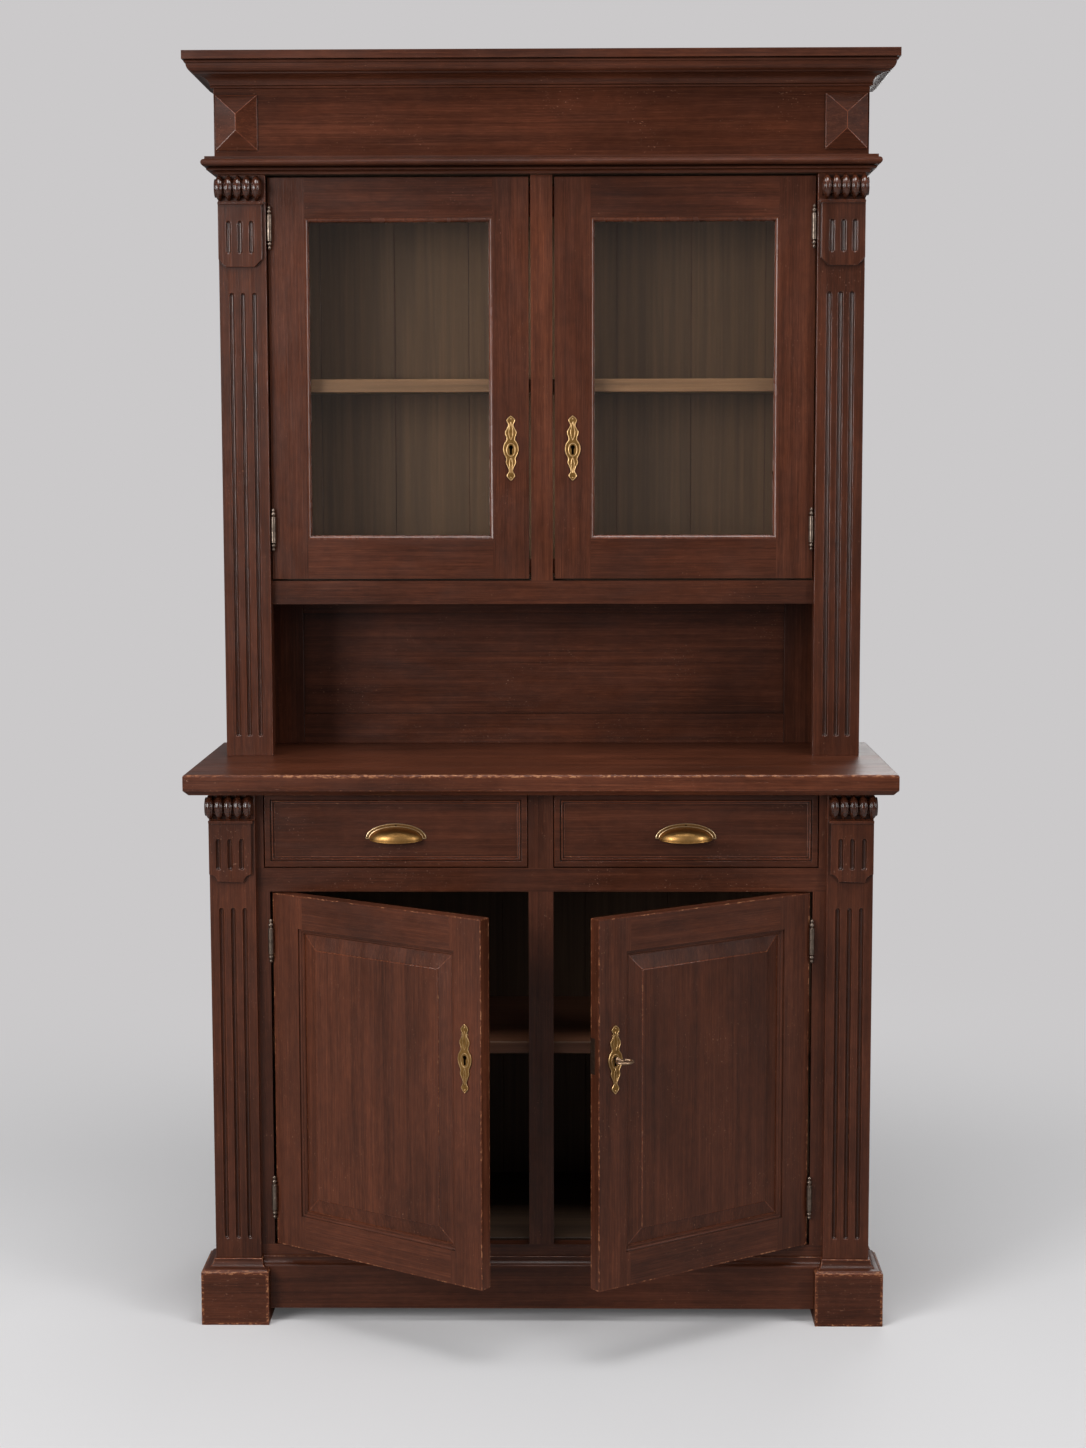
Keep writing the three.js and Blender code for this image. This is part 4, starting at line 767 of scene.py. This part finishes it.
def pressed_cup(x, y, z):
    """The hollow cup, with a rolled lip, from the middle of its lower edge on the drawer's front.
    Its ends stop just short of a point, and its lip turns a little back under it."""
    columns, rows = 48, 16
    fullness, under = 0.985, 0.2
    cup = bmesh.new()
    shells = []
    for wall in (0.0, cup_wall):
        shell = []
        for i in range(columns + 1):
            across = sin(pi / 2 * (-1 + 2 * i / columns) * fullness)
            girth = sqrt(1 - across * across)
            column = []
            for j in range(rows + 1):
                turn = (pi / 2 + under) * j / rows
                out = (cup_depth - wall) * girth * sin(turn)
                rise = (cup_rise - wall) * girth * cos(turn)
                column.append(cup.verts.new((x + (cup_half - wall) * across, y - out, z + rise)))
            shell.append(column)
        for a, b in zip(shell, shell[1:]):
            for j in range(rows):
                outside = (a[j], a[j + 1], b[j + 1], b[j])
                inside = (a[j], b[j], b[j + 1], a[j + 1])
                cup.faces.new(inside if wall else outside)
        shells.append(shell)
    outer, inner = shells
    for i in range(columns):
        for j in (0, rows):
            cup.faces.new((outer[i][j], outer[i + 1][j], inner[i + 1][j], inner[i][j]))
    for i in (0, columns):
        for j in range(rows):
            cup.faces.new((outer[i][j], outer[i][j + 1], inner[i][j + 1], inner[i][j]))
    bmesh.ops.recalc_face_normals(cup, faces=cup.faces)
    bead(cup, [column[rows].co.copy() for column in outer], 0.0011)
    return cup


def pressed_rim(x, y, z):
    """The flat rim round the cup, and the two raised lines along its edges."""
    steps = 48
    band = bmesh.new()

    def arc(half, rise, front, lift=0.0):
        """Half an oval over the cup, so far in front of the drawer."""
        turns = [pi * i / steps for i in range(steps + 1)]
        return [(x + half * cos(a), y - front, z + lift + rise * sin(a)) for a in turns]

    sizes = ((cup_half + rim_width, cup_rise + rim_width), (cup_half - 0.002, cup_rise - 0.002))
    front = [[band.verts.new(p) for p in arc(*size, rim_thick)] for size in sizes]
    rear = [[band.verts.new(p) for p in arc(*size, 0.0)] for size in sizes]
    for i in range(steps):
        band.faces.new((front[0][i], front[0][i + 1], front[1][i + 1], front[1][i]))
        band.faces.new((rear[0][i], rear[1][i], rear[1][i + 1], rear[0][i + 1]))
        band.faces.new((front[0][i], rear[0][i], rear[0][i + 1], front[0][i + 1]))
        band.faces.new((front[1][i], front[1][i + 1], rear[1][i + 1], rear[1][i]))
    for i in (0, steps):
        band.faces.new((front[0][i], front[1][i], rear[1][i], rear[0][i]))
    bmesh.ops.recalc_face_normals(band, faces=band.faces)
    around = arc(cup_half + rim_width - 0.0009, cup_rise + rim_width - 0.0018, 0.0012, 0.0009)
    around += arc(cup_half + 0.0012, cup_rise + 0.0008, 0.0012, 0.0009)[::-1]
    lines = bmesh.new()
    bead(lines, around, 0.0008, closed=True)
    return band, lines


def cup_pull(x, y, z):
    """The cup, its rim, the pin over it and the two raised lines."""
    band, lines = pressed_rim(x, y, z)
    pin = bmesh.new()
    profile = [(0, 0.0), (0.0013, 0.0), (0.0013, 0.0014), (0.0008, 0.0019), (0, 0.002)]
    lathe(pin, profile, (x, y, z + cup_rise + rim_width / 2), fore, 12)
    return [(pressed_cup(x, y, z), 0), (band, 1), (pin, 2), (lines, 3)]


def dovetail_tail(depth):
    """One dovetail as it shows on a drawer's side: end grain, wider towards its end."""
    solid = bmesh.new()
    narrow, wide, length = 0.005, 0.0075, 0.017
    outline = [(0, -wide), (length, -narrow), (length, narrow), (0, wide)]
    near = [solid.verts.new((0, y, z)) for y, z in outline]
    far = [solid.verts.new((depth, y, z)) for y, z in outline]
    solid.faces.new(near)
    solid.faces.new(far[::-1])
    for i in range(4):
        k = (i + 1) % 4
        solid.faces.new((near[i], far[i], far[k], near[k]))
    return shape_from(solid, "dovetail_tail")


raw_pine = thin_stained_pine("raw_pine_drawer_side", "Y", "#8A6846", "#B08C60", 0.6)
raw_pine_end = thin_stained_pine("raw_pine_end_grain", "Z", "#6B4E33", "#86643F", 0.7)
tail_thick, tail_pitch, first_tail = 0.0003, 0.0225, 0.014
for body in ("drawer_left", "drawer_right"):
    make_board(body + "_front", "moulded", pine_x, rubbed_highlit_x, body, arris=0.0007)
    box = body + "_box"
    make_board(box, "walls", raw_pine, raw_pine, body, 0.0008)
    low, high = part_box(box)
    tail = dovetail_tail(tail_thick)
    for number, side_face in enumerate((low[0], high[0])):
        first = (side_face - tail_thick / 2, low[1], low[2] + first_tail)
        tails = row_of(f"{box}_dovetails_{number}", tail, 4, first, (0, 0, tail_pitch), raw_pine_end)
        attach(tails, body)
    bpy.data.objects.remove(tail)
    pull = body + "_pull"
    low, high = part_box(pull)
    parts = cup_pull((low[0] + high[0]) / 2, high[1], high[2] - cup_rise - rim_width)
    make_piece(pull + "_cup", parts, [pull_brass, rim_brass, dark_pin, line_brass], body, [pull], 0)


# Doors
# Mortised frames: uprights run through, rails stand between them. The upper pair holds glass
# behind a bead, the lower pair, standing ajar, a raised panel. A door is described from its
# hinge's axis: along its width, and inward through its depth.

lock_iron = aged_metal("lock_iron", "#5A463A", "#2E2019", 0.5)
hinge_offset = 0.0048
door_thick = 0.0215
stile_width = 0.060
key_line = 0.030
# The cuts run a hair outside a door's faces, and free it of its hinge halves and lock case.
face_slack, slack = 0.00006, 0.00004
upper = dict(hinge=(0.4492, 0.14009), near=-0.0024, far=0.4277, rails=(1.2695, 1.7985), keyhole=1.422)
lower = dict(hinge=(0.4358, -0.07441), near=0.0012, far=0.4138, rails=(0.1895, 0.6465), keyhole=0.491)
doors = {
    "upper_left_door": dict(upper, side=-1, swing=0.0),
    "upper_right_door": dict(upper, side=1, swing=0.0),
    # Painted sheen: the lower doors' stain is lightened, the left door's most.
    "lower_left_door": dict(lower, side=-1, swing=33.6, tone=1.3),
    "lower_right_door": dict(lower, side=1, swing=34.3, tone=1.12),
}


def saw_line(door, way, distance, beyond=False):
    """A cut square to a door's width or depth, so far from its axis. It keeps the part before the
    cut, or the part beyond it."""
    sign = -1 if beyond else 1
    return sign * door[way], sign * (door[way].dot(door["axis"]) + distance)


for name, door in doors.items():
    side, angle = door["side"], radians(door["swing"])
    door["along"] = Vector((-side * cos(angle), -sin(angle), 0))
    door["inward"] = Vector((-side * sin(angle), cos(angle), 0))
    door["axis"] = Vector((side * door["hinge"][0], door["hinge"][1], 0))
    node = name + "_frame"
    across_pine, upright_pine, worn_and_highlit = pine_x, pine_z, rubbed_highlit_z
    if angle:
        turn = side * angle
        bottom, top = (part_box(node)[end][2] for end in (0, 1))
        left, right = sorted((-side * door["near"], -side * door["far"]))
        shut = ((left, hinge_offset, bottom), (right, hinge_offset + door_thick, top))
        handled = near_arrises(*shut, 0.0026, centre=door["axis"].xy, turn=turn)
        upright_pine = stained_pine(name + "_upright_pine", "Z", turn, door["tone"], 0.5, handled)
        across_pine = stained_pine(name + "_across_pine", "X", turn, door["tone"], 0.5, handled)
        # Painted highlight: the open doors' arris finish is lightened for the light on their rounded edges,
        # over real wear.
        worn_and_highlit = stained_pine(name + "_handled_arris", "Z", turn, tone=2.1, wear=0.4, polish=1.0)
    solid = solid_of(node, whole=False)
    wood = board_from(
        solid,
        saw_line(door, "inward", hinge_offset - face_slack, beyond=True),
        saw_line(door, "inward", hinge_offset + door_thick + slack),
        saw_line(door, "along", door["near"] - slack, beyond=True),
    )
    low_rail, high_rail = door["rails"]
    hinge_stile, lock_stile = door["near"] + stile_width, door["far"] - stile_width
    lock_upright = board_from(wood, saw_line(door, "along", lock_stile, beyond=True))
    join_faces(lock_upright, [saw_line(door, "along", door["far"] - key_line)])
    hinge_upright = board_from(wood, saw_line(door, "along", hinge_stile))
    inner_cuts = (saw_line(door, "along", hinge_stile, beyond=True), saw_line(door, "along", lock_stile))
    between = board_from(wood, *inner_cuts)
    boards = [(hinge_upright, 1), (lock_upright, 1)]
    boards.append((board_from(between, (up, low_rail)), 0))
    boards.append((board_from(between, (down, -high_rail)), 0))
    finishes = [across_pine, upright_pine, lock_iron]
    if name.startswith("upper"):
        boards.append((board_from(between, (down, -low_rail), (up, high_rail)), 3))
        finishes.append(bead_pine)
    if name != "lower_right_door":
        lock = board_from(solid, saw_line(door, "inward", hinge_offset + door_thick + slack, beyond=True))
        boards.append((lock, 2))
    for board, _ in boards:
        if board is not lock_upright:
            join_faces(board)
    make_piece(name + "_joinery", boards, finishes + [worn_and_highlit], name, [node])
    if name.startswith("lower"):
        panel = name + "_panel"
        make_piece(name + "_raised_panel", [(solid_of(panel), 0)], [upright_pine, worn_and_highlit], name,
                   [panel], 0.0007, 6)


# Glass
# Old drawn window glass, 3 mm thick, clear with a warm tinge and a slight waver. Each pane stands
# in a groove round the inside of an upper door's frame.

def window_glass():
    """Drawn sheet glass: it passes light and shadow, and reflects the pale room softly."""
    material, tree, place = blank_material("window_glass")
    waves = pattern(tree, place, (0.12, 0.12, 0.2), 1.0)
    surface = {"Base Color": linear("#F0EDE6"), "Roughness": 0.03, "IOR": 1.5, "Transmission Weight": 1.0}
    pane = relief_shader(tree, surface, waves, 0.05, 0.002)
    clear = add_node(tree, "ShaderNodeBsdfTransparent", {"Color": linear("#E8E4DA")}).outputs[0]
    shadow = add_node(tree, "ShaderNodeLightPath").outputs["Is Shadow Ray"]
    mixed = add_node(tree, "ShaderNodeMixShader", {0: shadow, 1: pane, 2: clear})
    add_node(tree, "ShaderNodeOutputMaterial", {0: mixed.outputs[0]})
    return material


glass = window_glass()
for door in ("upper_left_door", "upper_right_door"):
    make_board(door + "_glass", "pane", glass, glass, door, 0)


# Hinges
# Lift-off hinges in turned bronze: two knuckles on a pin, each ending in a ball and a bud, with
# a thin leaf let into the door's edge or the jamb.

hinge_bronze = aged_metal("turned_hinge_bronze", "#98877A", "#3D3127", 0.3)
finial = [
    (0.0037, 0.0215), (0.0025, 0.0222), (0.0021, 0.0229), (0.0029, 0.0236), (0.0038, 0.0248),
    (0.0041, 0.0262), (0.0038, 0.0277), (0.0028, 0.0289), (0.0018, 0.0295), (0.0017, 0.0302),
    (0.0025, 0.0310), (0.003, 0.0321), (0.003, 0.0333), (0.0023, 0.0347), (0.0012, 0.0358),
    (0.0, 0.0362),
]
knuckle = [
    (0.0, 0.0001), (0.0042, 0.0001), (0.0045, 0.0004), (0.0045, 0.0019), (0.0041, 0.0022),
    (0.0045, 0.0025), (0.0045, 0.0188), (0.0041, 0.0191), (0.0045, 0.0194), (0.0045, 0.0212),
    (0.0042, 0.0215),
]
pin = [(0.0017, -0.0001), (0.0017, 0.016), (0, 0.016)]
seams = {"upper": (1.2855, 1.7825), "lower": (0.2055, 0.6305)}
leaf_low, leaf_high, leaf_depth = 0.0001, 0.0205, 0.020
half_gap, leaf_start, leaf_end = 0.0012, 0.0002, 0.00115


def leaf(solid, door, start, end, bottom, top):
    """The thin plate beside a knuckle, between two distances from the hinge's axis."""
    corners = []
    for z in (bottom, top):
        for across, depth in ((start, 0.0), (end, 0.0), (end, leaf_depth), (start, leaf_depth)):
            place = door["axis"] + door["along"] * across + door["inward"] * depth
            corners.append(solid.verts.new(place + Vector((0, 0, z))))
    for loop in ((0, 1, 2, 3), (7, 6, 5, 4), (0, 4, 5, 1), (1, 5, 6, 2), (2, 6, 7, 3), (3, 7, 4, 0)):
        solid.faces.new([corners[i] for i in loop])
    bmesh.ops.recalc_face_normals(solid, faces=solid.faces)


for name, door in doors.items():
    jamb = dict(door, along=Vector((-door["side"], 0, 0)), inward=Vector((0, 1, 0)))
    gap = door["near"] - half_gap
    for end, seam in zip(("bottom", "top"), seams[name[:5]]):
        node = f"{name}_hinge_{end}"
        centre = (door["axis"].x, door["axis"].y, seam)
        lower_half = bmesh.new()
        lathe(lower_half, [(r, -h) for r, h in reversed(knuckle + finial)][:-1] + pin, centre)
        leaf(lower_half, jamb, gap - leaf_end, gap - leaf_start, seam - leaf_high, seam - leaf_low)
        make_piece(node + "_lower_half", [(lower_half, 0)], [hinge_bronze], "case",
                   [node], 0)
        upper_half = bmesh.new()
        lathe(upper_half, knuckle + finial, centre)
        leaf(upper_half, door, gap + leaf_start, gap + leaf_end, seam + leaf_low, seam + leaf_high)
        make_piece(node + "_upper_half", [(upper_half, 0)], [hinge_bronze], name, (), 0)


# Escutcheons
# Cast brass plates with a raised line round the outline and the keyhole, a leaf above and
# below, and a pin at each end.

escutcheon_brass = aged_metal("cast_brass_escutcheon", "#A87F48", "#4C3519", 0.42)
# Painted highlight: the raised lines are rubbed brass, made paler still for the light that they catch.
raised_brass = aged_metal("rubbed_brass_lines", "#D9B582", "#9C7244", 0.32)
leaf_shape = [(0.0, 0.0), (0.35, 0.18), (0.5, 0.42), (0.36, 0.68), (0.14, 0.88), (0.0, 1.0)]
pin_head = [(0, -0.001), (0.0014, 0.0), (0.0013, 0.0006), (0.0007, 0.0010), (0, 0.0011)]


def by_keyhole(door, across, height, out):
    """A point near a door's keyhole: so far away from the hinges, upwards, and out of its face."""
    face = door["axis"] + door["along"] * (door["far"] - key_line + across)
    return face + door["inward"] * (hinge_offset - out) + Vector((0, 0, door["keyhole"] + height))


def outlines(plate, outward):
    """The loops of points round the flat front of a plate and round its keyhole."""
    left = []
    for edge in plate.edges:
        if sum(face.normal.dot(outward) > 0.9 for face in edge.link_faces) == 1:
            left.append(edge)
    loops = []
    while left:
        loop = list(left.pop().verts)
        step = next((edge for edge in loop[-1].link_edges if edge in left), None)
        while step:
            left.remove(step)
            loop.append(step.other_vert(loop[-1]))
            step = next((edge for edge in loop[-1].link_edges if edge in left), None)
        loops.append([vert.co.copy() for vert in loop[:-1]])
    return loops


for name, door in doors.items():
    node = name + "_escutcheon"
    plate = solid_of(node)
    lines = bmesh.new()
    for ring in outlines(plate, -door["inward"]):
        middle = sum(ring, Vector()) / len(ring)
        is_keyhole = max((point - middle).length for point in ring) < 0.02
        if not is_keyhole:
            bead(lines, [p + (middle - p).normalized() * 0.0007 for p in ring], 0.0008, closed=True)
    turns = [2 * pi * i / 36 for i in range(36)]
    oval = [by_keyhole(door, 0.0070 * cos(a), -0.0042 + 0.0108 * sin(a), 0.0014) for a in turns]
    bead(lines, oval, 0.0009, closed=True)
    for sign, base, length, width in ((1, 0.012, 0.030, 0.0072), (-1, -0.0165, 0.026, 0.0052)):
        for hand in (-1, 1):
            edge = [(hand * width * w, base + sign * length * h) for w, h in leaf_shape]
            bead(lines, [by_keyhole(door, *point, 0.0016) for point in edge], 0.0005)
    if name.startswith("lower"):
        turns = [0.4 + i * 0.55 for i in range(9)]
        for hand in (-1, 1):
            curl = [(hand * (0.0045 + 0.0022 * cos(a)), 0.0345 + 0.0026 * sin(a)) for a in turns]
            bead(lines, [by_keyhole(door, *point, 0.0012) for point in curl], 0.0007)
    bmesh.ops.recalc_face_normals(lines, faces=lines.faces)
    pins = bmesh.new()
    for height in (0.047, -0.0505):
        lathe(pins, pin_head, by_keyhole(door, 0, height, 0.0016), -door["inward"], 12)
    bmesh.ops.recalc_face_normals(pins, faces=pins.faces)
    parts = [(plate, 0), (lines, 1), (pins, 1)]
    make_piece(node + "_cast", parts, [escutcheon_brass, raised_brass], name, [node], 0)


# Lock and key
# A plain iron cut lock in the right lower door, and its key, left in place. The key has turned
# collars and an oval bow that is bent in where it meets them.

make_board("lock_case", "iron", lock_iron, lock_iron, "lower_right_door", 0.0004)
make_board("lock_bolt", "iron", lock_iron, lock_iron, "bolt", 0.0004)

key_metal = aged_metal("worn_key_metal", "#C3A184", "#5D4836", 0.3)
door = doors["lower_right_door"]
shaft = [
    (0, -0.0173), (0.0023, -0.0173), (0.0025, -0.0165), (0.0025, 0.0062), (0.0036, 0.0066),
    (0.0038, 0.0078), (0.0036, 0.009), (0.0027, 0.0094), (0.0027, 0.0104), (0.0034, 0.011),
    (0.0032, 0.0124), (0.0026, 0.0132), (0.0022, 0.0158), (0, 0.0165),
]
bow_steps, bow_middle, bit_depth = 40, 0.026, 0.0135
bow = []
for i in range(bow_steps):
    a = 2 * pi * i / bow_steps
    cusp = 0.0035 * max(0.0, 1 - abs(((a - 1.5 * pi + pi) % (2 * pi)) - pi) / 0.5)
    bow.append(by_keyhole(door, -0.0134 * cos(a), 0, bow_middle + (0.0105 - cusp) * sin(a)))
key = bmesh.new()
bead(key, bow, 0.0021, closed=True, sides=12)
lathe(key, shaft, by_keyhole(door, 0, 0, 0), -door["inward"], 20)
bmesh.ops.recalc_face_normals(key, faces=key.faces)
bit = board_from(solid_of("door_key"), saw_line(door, "inward", hinge_offset + bit_depth, beyond=True))
make_piece("door_key_whole", [(key, 0), (bit, 0)], [key_metal], "key", ["door_key"], 0)


# Nails
# Round iron wire nails hold the back planks, driven in from behind. They stand in rows at the
# height of the floors, the shelves and the tops.

nail_profile = [(0, -0.0004), (0.0026, -0.0004), (0.0026, 0.0), (0.0018, 0.0005), (0, 0.0006)]
nail_solid = bmesh.new()
lathe(nail_solid, nail_profile, (0, 0, 0), aft, 12)
nail = shape_from(nail_solid, "nail_head")
back_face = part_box("base_back")[1][1] - 0.0007
base_rows = [(height, 14, 0.0731) for height in (0.121, 0.442, 0.741, 0.862)]
hutch_rows = [(height, 16, 0.064) for height in (0.918, 1.194, 1.525, 1.857)]
for number, (height, count, pitch) in enumerate(base_rows + hutch_rows):
    first = (-pitch * (count - 1) / 2, back_face, height)
    nails = row_of(f"back_nails_{number}", nail, count, first, (pitch, 0, 0), lock_iron)
    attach(nails, "case")
bpy.data.objects.remove(nail)
